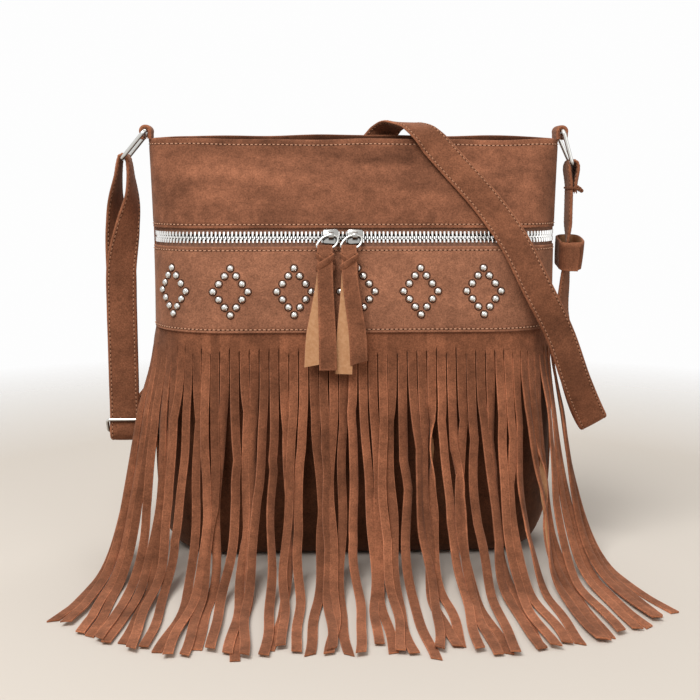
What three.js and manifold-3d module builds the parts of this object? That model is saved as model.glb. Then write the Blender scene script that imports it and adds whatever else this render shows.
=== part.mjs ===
// Fringed suede shoulder bag with a zipped front pocket, a studded band and a long strap.
// Millimetres. X runs along the bag's width, -Y is its front, +Z is up, and the base stands on Z = 0.
import * as THREE from "three";
import { mergeVertices } from "three/addons/utils/BufferGeometryUtils.js";
import Module from "manifold-3d";

const wasm = await Module();
wasm.setup();

// Body: plan and side profile of the filled bag.
const BAG_HEIGHT = 304;
const RIM_HALF_WIDTH = 151;
const BELLY_HALF_WIDTH = 151;
const WAIST_DEPTH = 2.5;
const BASE_HALF_WIDTH = 131;
const MOUTH_HALF_DEPTH = 13;
const FRONT_BULGE = 60;
const BACK_BULGE = 54;
const BASE_HALF_DEPTH = 36;
const BELLY_HEIGHT = 100;
const BELLY_POWER = 2.2;
const BASE_ROUNDING = 4;
const BACK_RIM_RISE = 3;

// Cloth: thickness of each layer, and the room left between layers that lie on each other.
const SUEDE = 1.2;
const LINING_CLOTH = 0.8;
const LINING_EASE = 1;
const POCKET_CLOTH = 0.6;
const LAYER_GAP = 0.3;
const BASE_THICKNESS = 1.6;

// Front, from the rim down: yoke, zip window, stud band, and the part of the fringe's header that shows.
const YOKE_HEIGHT = 64.05;
const ZIP_WINDOW = 12.7;
const BAND_HEIGHT = 60.25;
const HEADER_SHOWN = 15;
const SEAM_OVERLAP = 10;

// Inside: facing under the rim, and the pocket behind the zip.
const FACING_DEPTH = 27;
const POCKET_BELOW_SLIT = 22;
const POCKET_DEPTH = 4;

// Fringe: one sheet, cut into strips that hang from the slit line and lie out over the floor.
const STRIPS_PER_FACET = [4, 4, 4, 3, 3, 2, 2, 2, 1, 1];
const STRIP_KERF = 0.8;
const FRINGE_THICKNESS = 1;
const FLARE_RUN = 100;
const FLARE_WAVE = 5;
const FLARE_SCATTER = 4;
const FLOOR_RUN = 74;
const FLOOR_SCATTER = 5;
const TIP_SCATTER = 0.5;
const TIP_SWAY = 4;
const FAN = 1.09;
const STRIP_STEPS = 5;
const FLOOR_STEPS = 2;

// Studs: domes set in diamonds along the band.
const DIAMOND_COUNT = 7;
const DIAMOND_PITCH = 45;
const DIAMONDS_BELOW_ZIP = 31.25;
const DIAMOND_HALF_WIDTH = 12.3;
const DIAMOND_HALF_HEIGHT = 16.3;
const STUDS_PER_SIDE = 3;
const STUD_RADIUS = 2.6;
const STUD_RISE = 1.9;
const STUD_ROOT = 1.1;

// Zip: two rows of metal teeth on tapes, with two sliders that meet near the middle.
const TAPE = 0.6;
const TOOTH_PITCH = 2.9;
const TOOTH_HALF_THICKNESS = 1.1;
const TOOTH_REACH = 3.8;
const ROW_GAP = 0.6;
const SLIDER_MEET = -10;
const SLIDERS_APART = 17;
const SLIDER_HALF_LENGTH = 5.6;
const SLIDER_PLATE = 1.3;
const SLIDER_CLEARANCE = 0.4;
const PULL_WIRE = 0.9;
const PULL_DROP = 9;
const PULL_HALF_WIDTH = 6.7;

// Pull tassels: one strip each, folded over the pull and bound by a knot.
const TASSEL_HALF_WIDTH = 5.4;
const TASSEL_THICKNESS = 1.1;
const TASSEL_END = 140;
const TASSEL_SPLAY = 5.3;
const TASSEL_SPREAD = 3;
const KNOT_WRAP = 1.1;

// Strap, its rings, tabs, keeper loop and wire slide.
const STRAP_WIDTH = 22;
const STRAP_THICKNESS = 2.2;
const RING_WIRE = 1.5;
const RING_DROP = 26;
const RING_SIDE_CLEARANCE = 0.5;
const STRAP_SLACK = 0.35;
const STRAP_EASE = 1.4;
const LOOP_SPREAD = 6.6;
const TAB_WIDTH = 18;
const TAB_LEATHER = 3.2;
const TAB_OVERHANG = 1.5;
const LEFT_RING_LEAN = 40;
const RIGHT_RING_LEAN = 21;
const KEEPER_HEIGHT = 21;
const KEEPER_BELOW_RING = 65;
const KEEPER_HALF_DEPTH = 7.5;
const KEEPER_CORNER = 5;
const KEEPER_LEATHER = 1.6;
const STRAP_FOLD = 6;
const SEWN_LENGTH = 20;
const SLIDE_WIRE = 1.2;
const SLIDE_LEAN = 6;
const SLIDE_RISE = 10;

const FRONT = -1;
const BACK = 1;
const DEGREE = Math.PI / 180;
const vec = (x, y, z) => new THREE.Vector3(x, y, z);

// Solids.

// Closed solid through a row of rings, each with the same number of points round its section.
// The ends are closed by rungs between the first and second half of the ring, and both halves split their
// faces the same way, so that layers of one wall stay apart.
function loft(rings, endless = false) {
  const size = rings[0].length;
  const count = rings.length;
  const index = [];
  const quad = (a, b, c, d) => index.push(a, b, c, a, c, d);
  for (let i = 0; i < (endless ? count : count - 1); i++) {
    for (let j = 0; j < size; j++) {
      const k = (j + 1) % size;
      const next = ((i + 1) % count) * size;
      const corners = [i * size + j, i * size + k, next + k, next + j];
      if (j >= size / 2) corners.push(corners.shift());
      quad(...corners);
    }
  }
  if (!endless) {
    const last = (count - 1) * size;
    for (let j = 0; j < size / 2 - 1; j++) {
      quad(j, size - 1 - j, size - 2 - j, j + 1);
      quad(last + j, last + j + 1, last + size - 2 - j, last + size - 1 - j);
    }
  }
  const geometry = new THREE.BufferGeometry().setFromPoints(rings.flat());
  geometry.setIndex(index);
  return faceOut(geometry);
}

// The same closed geometry with its faces pointing out.
function faceOut(geometry) {
  const p = geometry.getAttribute("position");
  const index = geometry.getIndex().array;
  const corner = (i) => new THREE.Vector3().fromBufferAttribute(p, index[i]);
  let volume = 0;
  for (let i = 0; i < index.length; i += 3) {
    volume += corner(i).dot(corner(i + 1).cross(corner(i + 2)));
  }
  if (volume < 0) {
    const turned = [];
    for (let i = 0; i < index.length; i += 3) turned.push(index[i], index[i + 2], index[i + 1]);
    geometry.setIndex(turned);
  }
  geometry.computeVertexNormals();
  return geometry;
}

// A geometry as a solid for joining and cutting.
function solid(geometry) {
  const bare = new THREE.BufferGeometry().setAttribute("position", geometry.getAttribute("position"));
  bare.setIndex(geometry.getIndex());
  const merged = mergeVertices(bare, 1e-4);
  const vertProperties = new Float32Array(merged.getAttribute("position").array);
  const triVerts = new Uint32Array(merged.getIndex().array);
  return new wasm.Manifold(new wasm.Mesh({ numProp: 3, vertProperties, triVerts }));
}

// A joined or cut solid as a geometry.
function geometryOf(body) {
  const { vertProperties, triVerts } = body.getMesh();
  const geometry = new THREE.BufferGeometry();
  geometry.setAttribute("position", new THREE.BufferAttribute(vertProperties, 3));
  geometry.setIndex(new THREE.BufferAttribute(triVerts, 1));
  geometry.computeVertexNormals();
  return geometry;
}

const joined = (geometries) => geometryOf(geometries.map(solid).reduce((all, next) => all.add(next)));
const cut = (geometry, ...tools) =>
  geometryOf(tools.reduce((left, tool) => left.subtract(solid(tool)), solid(geometry)));

// A shape extruded evenly to both sides of its plane.
function slab(shape, depth, curveSegments = 6) {
  const settings = { depth, bevelEnabled: false, curveSegments };
  return new THREE.ExtrudeGeometry(shape, settings).translate(0, 0, -depth / 2);
}

const indexed = (geometry) => {
  geometry.deleteAttribute("normal");
  geometry.deleteAttribute("uv");
  return mergeVertices(geometry, 1e-4);
};

const box = (x0, x1, y0, y1, z0, z1) =>
  indexed(
    new THREE.BoxGeometry(x1 - x0, y1 - y0, z1 - z0).translate((x0 + x1) / 2, (y0 + y1) / 2, (z0 + z1) / 2),
  );

// Closed wire of round section along points that lie in one plane, whose normal is given.
function wireLoop(points, planeNormal, radius, sides = 6) {
  const rings = points.map((point, i) => {
    const before = points[(i + points.length - 1) % points.length];
    const after = points[(i + 1) % points.length];
    const along = after.clone().sub(before).normalize();
    const across = along.clone().cross(planeNormal);
    return Array.from({ length: sides }, (_, k) => {
      const angle = (k / sides) * 2 * Math.PI;
      return point
        .clone()
        .addScaledVector(across, radius * Math.cos(angle))
        .addScaledVector(planeNormal, radius * Math.sin(angle));
    });
  });
  return loft(rings, true);
}

// Outline of a rectangle with round corners, as points round (0, 0).
function roundedOutline(halfWidth, halfHeight, corner, steps = 3) {
  const points = [];
  for (const [sx, sy, start] of [[1, 1, 0], [-1, 1, 90], [-1, -1, 180], [1, -1, 270]]) {
    for (let i = 0; i <= steps; i++) {
      const angle = (start + (i / steps) * 90) * DEGREE;
      points.push([
        sx * (halfWidth - corner) + corner * Math.cos(angle),
        sy * (halfHeight - corner) + corner * Math.sin(angle),
      ]);
    }
  }
  return points;
}

// Flat strip along a route of stations { at, out }, where out is the side that the strip's face looks to.
function ribbon(route, width, thickness) {
  const rings = route.map((station, i) => {
    const before = route[Math.max(i - 1, 0)].at;
    const after = route[Math.min(i + 1, route.length - 1)].at;
    const along = after.clone().sub(before).normalize();
    const across = along.clone().cross(station.out).normalize();
    const out = across.clone().cross(along).normalize();
    const corner = (a, b) =>
      station.at
        .clone()
        .addScaledVector(across, (a * width) / 2)
        .addScaledVector(out, (b * thickness) / 2);
    return [corner(-1, 1), corner(1, 1), corner(1, -1), corner(-1, -1)];
  });
  return loft(rings);
}

// Body shape.

// Half width of the bag and depth of one wall in front of the side seams, at a height.
function section(side, z) {
  const belly = side === FRONT ? FRONT_BULGE : BACK_BULGE;
  if (z >= BELLY_HEIGHT) {
    const rise = (z - BELLY_HEIGHT) / (BAG_HEIGHT - BELLY_HEIGHT);
    const half = BELLY_HALF_WIDTH + (RIM_HALF_WIDTH - BELLY_HALF_WIDTH) * rise;
    return {
      half: half - WAIST_DEPTH * Math.sin(Math.PI * rise),
      depth: MOUTH_HALF_DEPTH + (belly - MOUTH_HALF_DEPTH) * (1 - rise ** BELLY_POWER),
    };
  }
  const swell = Math.sqrt(1 - ((BELLY_HEIGHT - z) / BELLY_HEIGHT) ** BASE_ROUNDING);
  return {
    half: BASE_HALF_WIDTH + (BELLY_HALF_WIDTH - BASE_HALF_WIDTH) * swell,
    depth: BASE_HALF_DEPTH + (belly - BASE_HALF_DEPTH) * swell,
  };
}

// Length of one wall from its middle to the side seam, measured round the bag.
function halfRun(side, z) {
  const { half, depth } = section(side, z);
  return half - depth + (depth * Math.PI) / 2;
}

// Plan of a wall: a straight middle that turns into the side seams through quarter rounds.
// share is the place along the wall, from -1 at the left seam to 1 at the right.
// inset is the depth under its face.
function wall(side, z, share, inset) {
  const { half, depth } = section(side, z);
  const run = share * halfRun(side, z);
  const straight = half - depth;
  const turn = Math.max(Math.abs(run) - straight, 0) / depth;
  const x = Math.sign(run) * (Math.min(Math.abs(run), straight) + (depth - inset) * Math.sin(turn));
  const y = (depth - inset) * Math.cos(turn) + LAYER_GAP / 2;
  return vec(x, side * y, z + backRise(side, z, share));
}

// The back wall stands a little higher than the front in the middle of the mouth.
function backRise(side, z, share) {
  const near = Math.max(z - (BAG_HEIGHT - FACING_DEPTH), 0) / FACING_DEPTH;
  return side === BACK ? BACK_RIM_RISE * near * (1 - share ** 2) ** 2 : 0;
}

// The facets of a wall end between strips of the fringe, and are narrower towards the side seams.
const HALF_STRIPS = STRIPS_PER_FACET.reduce((sum, strips) => sum + strips, 0);
const HALF_COLUMNS = STRIPS_PER_FACET.map(
  (_, i) => STRIPS_PER_FACET.slice(0, i + 1).reduce((sum, strips) => sum + strips, 0) / HALF_STRIPS,
);
const COLUMNS = [...HALF_COLUMNS.map((share) => -share).reverse(), 0, ...HALF_COLUMNS];

const COARSE_COLUMNS = COLUMNS.filter((_, i) => i % 2 === 0);

const WINDOW_TOP = BAG_HEIGHT - YOKE_HEIGHT;
const ZIP_HEIGHT = WINDOW_TOP - ZIP_WINDOW / 2;
const WINDOW_BOTTOM = WINDOW_TOP - ZIP_WINDOW;
const DIAMOND_HEIGHT = WINDOW_BOTTOM - DIAMONDS_BELOW_ZIP;
const BAND_BOTTOM = WINDOW_BOTTOM - BAND_HEIGHT;
const SLIT_TOP = BAND_BOTTOM - HEADER_SHOWN;
const POCKET_BOTTOM = SLIT_TOP - POCKET_BELOW_SLIT;
const TAPE_TOP = WINDOW_TOP + SEAM_OVERLAP;
const TAPE_BOTTOM = WINDOW_BOTTOM - SEAM_OVERLAP;
const HEADER_TOP = BAND_BOTTOM + SEAM_OVERLAP;
const FACING_BOTTOM = BAG_HEIGHT - FACING_DEPTH;
const LEVELS = [
  ...[0, 0.05, 0.14, 0.32, 0.62, 1].map((share) => share * BELLY_HEIGHT),
  POCKET_BOTTOM,
  SLIT_TOP,
  BAND_BOTTOM,
  HEADER_TOP,
  DIAMOND_HEIGHT,
  TAPE_BOTTOM,
  WINDOW_BOTTOM,
  WINDOW_TOP,
  TAPE_TOP,
  FACING_BOTTOM,
  BAG_HEIGHT,
].sort((a, b) => a - b);

// Levels from one height to another, so that all layers share the same facets.
const levels = (from, to) => [from, ...LEVELS.filter((z) => z > from + 1 && z < to - 1), to];

const FRONT_ONLY = [POCKET_BOTTOM, BAND_BOTTOM, HEADER_TOP, WINDOW_BOTTOM];
const BACK_LEVELS = LEVELS.filter((z) => !FRONT_ONLY.includes(z));

// Depth of each layer's outer face under the face of the yoke and the band.
const UNDER_BAND = SUEDE + LAYER_GAP;
const UNDER_HEADER = UNDER_BAND + FRINGE_THICKNESS + LAYER_GAP;
const UNDER_PANEL = UNDER_HEADER + SUEDE + LAYER_GAP;
const UNDER_POCKET = UNDER_PANEL + POCKET_DEPTH + LAYER_GAP;

// One layer of a wall between two heights.
function layer(side, heights, inset, thickness, columns = COLUMNS) {
  const order = side === FRONT ? columns : columns.toReversed();
  const row = (z, depth) => order.map((share) => wall(side, z, share, depth));
  return loft(heights.map((z) => [...row(z, inset), ...row(z, inset + thickness).reverse()]));
}

// Suede strip round the inside of the mouth.
function makeRimFacing() {
  const bottom = FACING_BOTTOM + LAYER_GAP;
  const corners = [
    [bottom, UNDER_BAND],
    [BAG_HEIGHT, UNDER_BAND],
    [BAG_HEIGHT, UNDER_BAND + SUEDE],
    [bottom, UNDER_BAND + SUEDE],
  ];
  const ring = (side) => (share) => corners.map(([z, inset]) => wall(side, z, share, inset));
  return loft([...COLUMNS.map(ring(FRONT)), ...COLUMNS.map(ring(BACK)).reverse()], true);
}

// The lining stands clear of the front pocket and comes out to the facing above it.
function makeLining() {
  const [, floor, ...higher] = LEVELS.filter((z) => z <= BELLY_HEIGHT);
  const heights = [floor, ...higher.slice(1), SLIT_TOP, TAPE_BOTTOM, TAPE_TOP, FACING_BOTTOM];
  const row = (z, extra) => {
    const inset = UNDER_BAND + LINING_EASE + extra;
    const front = z > TAPE_TOP ? inset : UNDER_POCKET + LINING_EASE + extra;
    return [
      ...COARSE_COLUMNS.map((share) => wall(FRONT, z, share, front)),
      ...COARSE_COLUMNS.map((share) => wall(BACK, z, share, inset)).reverse(),
    ];
  };
  const outer = loft(heights.map((z) => row(z, 0)));
  const hollow = heights.map((z) => row(z, LINING_CLOTH));
  hollow[0].forEach((point) => point.setZ(floor + LINING_CLOTH));
  hollow.push(hollow.at(-1).map((point) => point.clone().setZ(BAG_HEIGHT)));
  return cut(outer, loft(hollow));
}

// Flat base inside the lower edges of the walls.
function makeBase() {
  const outline = [
    ...COLUMNS.map((share) => wall(FRONT, 0, share, UNDER_PANEL)),
    ...COLUMNS.map((share) => wall(BACK, 0, share, UNDER_BAND)).reverse(),
  ];
  return loft([0, BASE_THICKNESS].map((z) => outline.map((point) => point.clone().setZ(z))));
}

// Pocket bag behind the zip: one cloth folded at the bottom, with its short side on the lower tape and its
// long side on the upper tape.
function makePocket() {
  const low = levels(POCKET_BOTTOM, TAPE_BOTTOM).slice(1);
  const high = levels(POCKET_BOTTOM, TAPE_TOP).slice(1);
  const near = UNDER_PANEL;
  const far = UNDER_PANEL + POCKET_DEPTH;
  const fold = (extra) => [
    ...low.map((z) => [z, near + extra]).reverse(),
    [POCKET_BOTTOM + extra, near + extra],
    [POCKET_BOTTOM + extra, far - extra],
    ...high.map((z) => [z, far - extra]),
  ];
  const loop = [...fold(0), ...fold(POCKET_CLOTH).reverse()];
  const columns = COARSE_COLUMNS.slice(2, -2);
  return loft(columns.map((share) => loop.map(([z, inset]) => wall(FRONT, z, share, inset))));
}

// Studded band.

// Place and outward direction on the front at a run from the middle.
function onFront(run, z) {
  const share = run / halfRun(FRONT, z);
  const at = wall(FRONT, z, share, 0);
  const step = 0.5;
  const along = wall(FRONT, z, share + step / halfRun(FRONT, z), 0).sub(at);
  const up = wall(FRONT, z + step, run / halfRun(FRONT, z + step), 0).sub(at);
  return { at, out: along.cross(up).normalize() };
}

function makeStud(run, z) {
  const profile = [
    [0, -STUD_ROOT],
    [STUD_RADIUS * (1 + STUD_ROOT / STUD_RISE), -STUD_ROOT],
    [0, STUD_RISE],
  ].map(([r, h]) => new THREE.Vector2(r, h));
  const sides = 6;
  const { at, out } = onFront(run, z);
  const turn = new THREE.Quaternion().setFromUnitVectors(vec(0, 1, 0), out);
  return indexed(new THREE.LatheGeometry(profile, sides)).applyQuaternion(turn).translate(at.x, at.y, at.z);
}

function makeStudBand() {
  const studs = [];
  const corners = [[0, 1], [1, 0], [0, -1], [-1, 0]];
  for (let d = 0; d < DIAMOND_COUNT; d++) {
    const middle = (d - (DIAMOND_COUNT - 1) / 2) * DIAMOND_PITCH;
    corners.forEach(([x0, z0], side) => {
      const [x1, z1] = corners[(side + 1) % corners.length];
      for (let k = 0; k < STUDS_PER_SIDE; k++) {
        const t = k / STUDS_PER_SIDE;
        const run = middle + DIAMOND_HALF_WIDTH * (x0 + (x1 - x0) * t);
        studs.push(makeStud(run, DIAMOND_HEIGHT + DIAMOND_HALF_HEIGHT * (z0 + (z1 - z0) * t)));
      }
    });
  }
  return joined([layer(FRONT, levels(BAND_BOTTOM, WINDOW_BOTTOM), 0, SUEDE), ...studs]);
}

// Fringe.

// Fixed scatter between -1 and 1 for strip i, so that every build is the same.
function scatter(i, salt) {
  const wave = Math.sin((i + 1) * 12.9898 + salt * 78.233) * 43758.5453;
  return 2 * (wave - Math.floor(wave)) - 1;
}

const STRIP_COUNT = 2 * HALF_STRIPS;

// Point of the header's own facet at a share of the wall.
function onHeader(z, share, inset) {
  const k = Math.max(COLUMNS.findIndex((c) => c >= share), 1);
  const left = wall(FRONT, z, COLUMNS[k - 1], inset);
  const right = wall(FRONT, z, COLUMNS[k], inset);
  return left.lerp(right, (share - COLUMNS[k - 1]) / (COLUMNS[k] - COLUMNS[k - 1]));
}

// Section of the header above strip i: front left, front right, back right, back left.
function headerRing(i, z) {
  const kerf = STRIP_KERF / halfRun(FRONT, SLIT_TOP) / 2;
  const left = (2 * i) / STRIP_COUNT - 1 + kerf;
  const right = (2 * (i + 1)) / STRIP_COUNT - 1 - kerf;
  const deep = UNDER_BAND + FRINGE_THICKNESS;
  return [
    onHeader(z, left, UNDER_BAND),
    onHeader(z, right, UNDER_BAND),
    onHeader(z, right, deep),
    onHeader(z, left, deep),
  ];
}

// Centre line of strip i: down from the slit line, out in a flare to the floor, and flat along it.
// The strips keep their order: the scatter is smaller at the corners, where they overlap like slats.
function stripLine(i, top) {
  const share = (2 * i + 1) / STRIP_COUNT - 1;
  const calm = 1 - THREE.MathUtils.smoothstep(Math.abs(share), 0.45, 0.7);
  const flare = FLARE_RUN + calm * (FLARE_WAVE * Math.sin(0.9 * i) + FLARE_SCATTER * scatter(i, 2));
  const lie = FLOOR_RUN + FLOOR_SCATTER * scatter(i, 3);
  const tipX = FAN * share * halfRun(FRONT, SLIT_TOP) + TIP_SCATTER * scatter(i, 1);
  const sideways = (tipX - top.x) / (flare + lie);
  const heading = vec(sideways, -Math.sqrt(1 - sideways ** 2), 0);
  const floor = LAYER_GAP + FRINGE_THICKNESS / 2 + (i % 2) * (FRINGE_THICKNESS + LAYER_GAP);
  const place = (run, z) => top.clone().addScaledVector(heading, run).setZ(z);
  const landing = place(flare, floor);
  const sway = heading.clone().cross(vec(0, 0, 1)).multiplyScalar(TIP_SWAY * scatter(i, 4));
  const hang = new THREE.CubicBezierCurve3(
    top,
    place(0.08 * flare, 0.59 * SLIT_TOP),
    place(0.3 * flare, floor),
    landing,
  );
  const rest = new THREE.QuadraticBezierCurve3(
    landing,
    place(flare + lie / 2, floor),
    place(flare + lie, floor).add(sway),
  );
  return { heading, points: [...hang.getPoints(STRIP_STEPS), ...rest.getPoints(FLOOR_STEPS).slice(1)] };
}

// Sections of strip i from the top of the header to its tip. They turn from the wall's direction to the
// floor's.
function stripRings(i) {
  const root = headerRing(i, SLIT_TOP);
  const top = root[0].clone().lerp(root[2], 0.5);
  const across = root[1].clone().sub(root[0]);
  const width = across.length();
  const { heading, points } = stripLine(i, top);
  const flat = vec(0, 0, 1).cross(heading);
  const rings = points.slice(1).map((at, k) => {
    const settle = THREE.MathUtils.smoothstep(k + 1, 0, STRIP_STEPS);
    const along = (points[k + 2] ?? at).clone().sub(points[k]).normalize();
    const side = across.clone().normalize().lerp(flat, settle).normalize();
    const out = along.clone().cross(side).normalize();
    side.copy(out).cross(along);
    return [[-1, 1], [1, 1], [1, -1], [-1, -1]].map(([a, b]) =>
      at
        .clone()
        .addScaledVector(side, (a * width) / 2)
        .addScaledVector(out, (b * FRINGE_THICKNESS) / 2),
    );
  });
  return [headerRing(i, HEADER_TOP), root, ...rings];
}

// Fringe: a header that carries all strips, in one sheet.
function makeFringe() {
  const points = [];
  const index = [];
  const quad = (a, b, c, d) => index.push(a, b, c, a, c, d);
  const size = 4;
  const starts = [];
  for (let i = 0; i < STRIP_COUNT; i++) {
    const rings = stripRings(i);
    const start = points.length;
    starts.push(start);
    points.push(...rings.flat());
    quad(start, start + 1, start + 2, start + 3);
    for (let k = 0; k < rings.length - 1; k++) {
      for (let j = 0; j < size; j++) {
        const inHeader = k === 0 && ((j === 1 && i < STRIP_COUNT - 1) || (j === 3 && i > 0));
        if (inHeader) continue;
        const a = start + k * size + j;
        const b = start + k * size + ((j + 1) % size);
        quad(a, a + size, b + size, b);
      }
    }
    const tip = start + (rings.length - 1) * size;
    quad(tip, tip + 3, tip + 2, tip + 1);
  }
  for (let i = 0; i < STRIP_COUNT - 1; i++) {
    const [a, b] = [starts[i], starts[i + 1]];
    quad(a + 1, a + 1 + size, b + size, b);
    quad(b + 3, b + 3 + size, a + 2 + size, a + 2);
    quad(a + 1, b, b + 3, a + 2);
    quad(a + 1 + size, a + 2 + size, b + 3 + size, b + size);
  }
  const geometry = new THREE.BufferGeometry().setFromPoints(points);
  geometry.setIndex(index);
  return faceOut(geometry);
}

// Zip.

const TAPE_INSET = UNDER_BAND + TAPE / 2;
const ZIP_COLUMNS = COLUMNS.slice(1, -1);

// One half of the tape, from the back of the teeth to under the suede.
function makeTape(up) {
  const inner = ZIP_HEIGHT + up * (TOOTH_REACH + LAYER_GAP);
  const outer = up > 0 ? TAPE_TOP : TAPE_BOTTOM;
  return layer(FRONT, levels(Math.min(inner, outer), Math.max(inner, outer)), UNDER_BAND, TAPE, ZIP_COLUMNS);
}

// One row of teeth: a bar whose section swells at each tooth and shrinks between teeth.
function makeTeeth(up) {
  const reach = ZIP_COLUMNS.at(-1) * halfRun(FRONT, ZIP_HEIGHT) - TOOTH_PITCH;
  const count = Math.floor((2 * reach) / TOOTH_PITCH);
  const phase = up > 0 ? 0 : 0.5;
  const rings = [];
  for (let k = 0; k < 2 * count; k++) {
    const isTooth = k % 2 === 0;
    const run = (k / 2 + phase - count / 2) * TOOTH_PITCH;
    const share = run / halfRun(FRONT, ZIP_HEIGHT);
    const half = TOOTH_HALF_THICKNESS * (isTooth ? 1 : 0.45);
    const near = ZIP_HEIGHT + up * (isTooth ? ROW_GAP : ROW_GAP + 0.3 * TOOTH_REACH);
    const far = ZIP_HEIGHT + up * TOOTH_REACH;
    const corner = (z, depth) => wall(FRONT, z, share, TAPE_INSET + depth);
    rings.push([corner(near, -half), corner(far, -half), corner(far, half), corner(near, half)]);
  }
  return loft(rings);
}

// Frame of the zip on the front: X along the chain, local Y up the tape, local Z out of the bag.
const CHAIN = wall(FRONT, ZIP_HEIGHT, 0, TAPE_INSET);
const ZIP_TILT = Math.acos(onFront(0, ZIP_HEIGHT).out.z);
const SLIDER_INNER = TOOTH_HALF_THICKNESS + SLIDER_CLEARANCE;
const SLIDER_OUTER = SLIDER_INNER + SLIDER_PLATE;
const FLANGE_INNER = TOOTH_REACH + 1.4 * SLIDER_CLEARANCE;
const SLIDER_HALF_HEIGHT = FLANGE_INNER + 1;
const LUG_RADIUS = PULL_WIRE + 1.7;
const LUG_MIDDLE = SLIDER_OUTER + LUG_RADIUS - 0.4;
const LUG_HALF_LENGTH = 1.8;

// Slider: two plates that hold the rows between them, joined by a post, with flanges and a lug for the pull.
function makeSlider(mouth) {
  const outline = (sign) => {
    const shape = new THREE.Shape();
    const tail = SLIDER_HALF_HEIGHT - 0.5;
    const nose = SLIDER_HALF_LENGTH * 0.55;
    shape.moveTo(-SLIDER_HALF_LENGTH, -tail + 1);
    shape.quadraticCurveTo(-SLIDER_HALF_LENGTH, -tail, -SLIDER_HALF_LENGTH + 1.5, -tail);
    shape.lineTo(nose, -SLIDER_HALF_HEIGHT);
    shape.quadraticCurveTo(SLIDER_HALF_LENGTH, -SLIDER_HALF_HEIGHT, SLIDER_HALF_LENGTH, -2);
    shape.lineTo(SLIDER_HALF_LENGTH - 1, 0);
    shape.lineTo(SLIDER_HALF_LENGTH, 2);
    shape.quadraticCurveTo(SLIDER_HALF_LENGTH, SLIDER_HALF_HEIGHT, nose, SLIDER_HALF_HEIGHT);
    shape.lineTo(-SLIDER_HALF_LENGTH + 1.5, tail);
    shape.quadraticCurveTo(-SLIDER_HALF_LENGTH, tail, -SLIDER_HALF_LENGTH, tail - 1);
    const z = sign * (SLIDER_INNER + SLIDER_PLATE / 2);
    return indexed(slab(shape, SLIDER_PLATE, 4)).translate(0, 0, z);
  };
  const tapeRoom = TAPE / 2 + SLIDER_CLEARANCE;
  const flange = (side, sign) => {
    const ends = [sign * tapeRoom, sign * (SLIDER_INNER + 0.2)];
    const heights = [side * FLANGE_INNER, side * (SLIDER_HALF_HEIGHT - 0.5)];
    return box(
      -SLIDER_HALF_LENGTH + 1.5,
      SLIDER_HALF_LENGTH * 0.5,
      Math.min(...heights),
      Math.max(...heights),
      Math.min(...ends),
      Math.max(...ends),
    );
  };
  const postHalf = ROW_GAP - 0.2;
  const postEnd = SLIDER_HALF_LENGTH - 1.3;
  const post = box(postEnd - 1.8, postEnd, -postHalf, postHalf, -SLIDER_INNER - 0.2, SLIDER_INNER + 0.2);
  const lug = new THREE.Shape();
  lug.absarc(LUG_MIDDLE, 0, LUG_RADIUS, -Math.PI / 2, Math.PI / 2, false);
  lug.lineTo(SLIDER_OUTER - 0.3, LUG_RADIUS);
  lug.lineTo(SLIDER_OUTER - 0.3, -LUG_RADIUS);
  const eye = new THREE.Path();
  eye.absarc(LUG_MIDDLE, 0, PULL_WIRE + LAYER_GAP, 0, 2 * Math.PI, true);
  lug.holes.push(eye);
  const lugBody = indexed(slab(lug, 2 * LUG_HALF_LENGTH, 5)).rotateY(-Math.PI / 2);
  const flanges = [-1, 1].flatMap((side) => [-1, 1].map((sign) => flange(side, sign)));
  const body = joined([outline(1), outline(-1), post, lugBody, ...flanges]);
  return mouth < 0 ? body.rotateZ(Math.PI) : body;
}

// Pull: a wire loop whose short top bar runs through the slider's lug and whose long bar carries the tassel.
function makePull() {
  const top = LUG_HALF_LENGTH + PULL_WIRE + LAYER_GAP;
  const points = [];
  for (const side of [1, -1]) {
    const run = [
      vec(side * top * 0.6, 0, LUG_MIDDLE),
      vec(side * top, 0, LUG_MIDDLE),
      vec(side * (top + 1.6), -0.8, LUG_MIDDLE),
      vec(side * (PULL_HALF_WIDTH - 0.5), -PULL_DROP * 0.55, LUG_MIDDLE),
      vec(side * PULL_HALF_WIDTH, -PULL_DROP * 0.8, LUG_MIDDLE),
      vec(side * (PULL_HALF_WIDTH - 0.4), -PULL_DROP * 0.95, LUG_MIDDLE),
      vec(side * (PULL_HALF_WIDTH - 1.4), -PULL_DROP, LUG_MIDDLE),
      vec(side * PULL_HALF_WIDTH * 0.4, -PULL_DROP, LUG_MIDDLE),
    ];
    points.push(...(side > 0 ? run : run.reverse()));
  }
  return wireLoop(points, vec(0, 0, 1), PULL_WIRE);
}

// Pull tassels.

const TAILS_APART = TASSEL_THICKNESS + 2 * LAYER_GAP;

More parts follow.
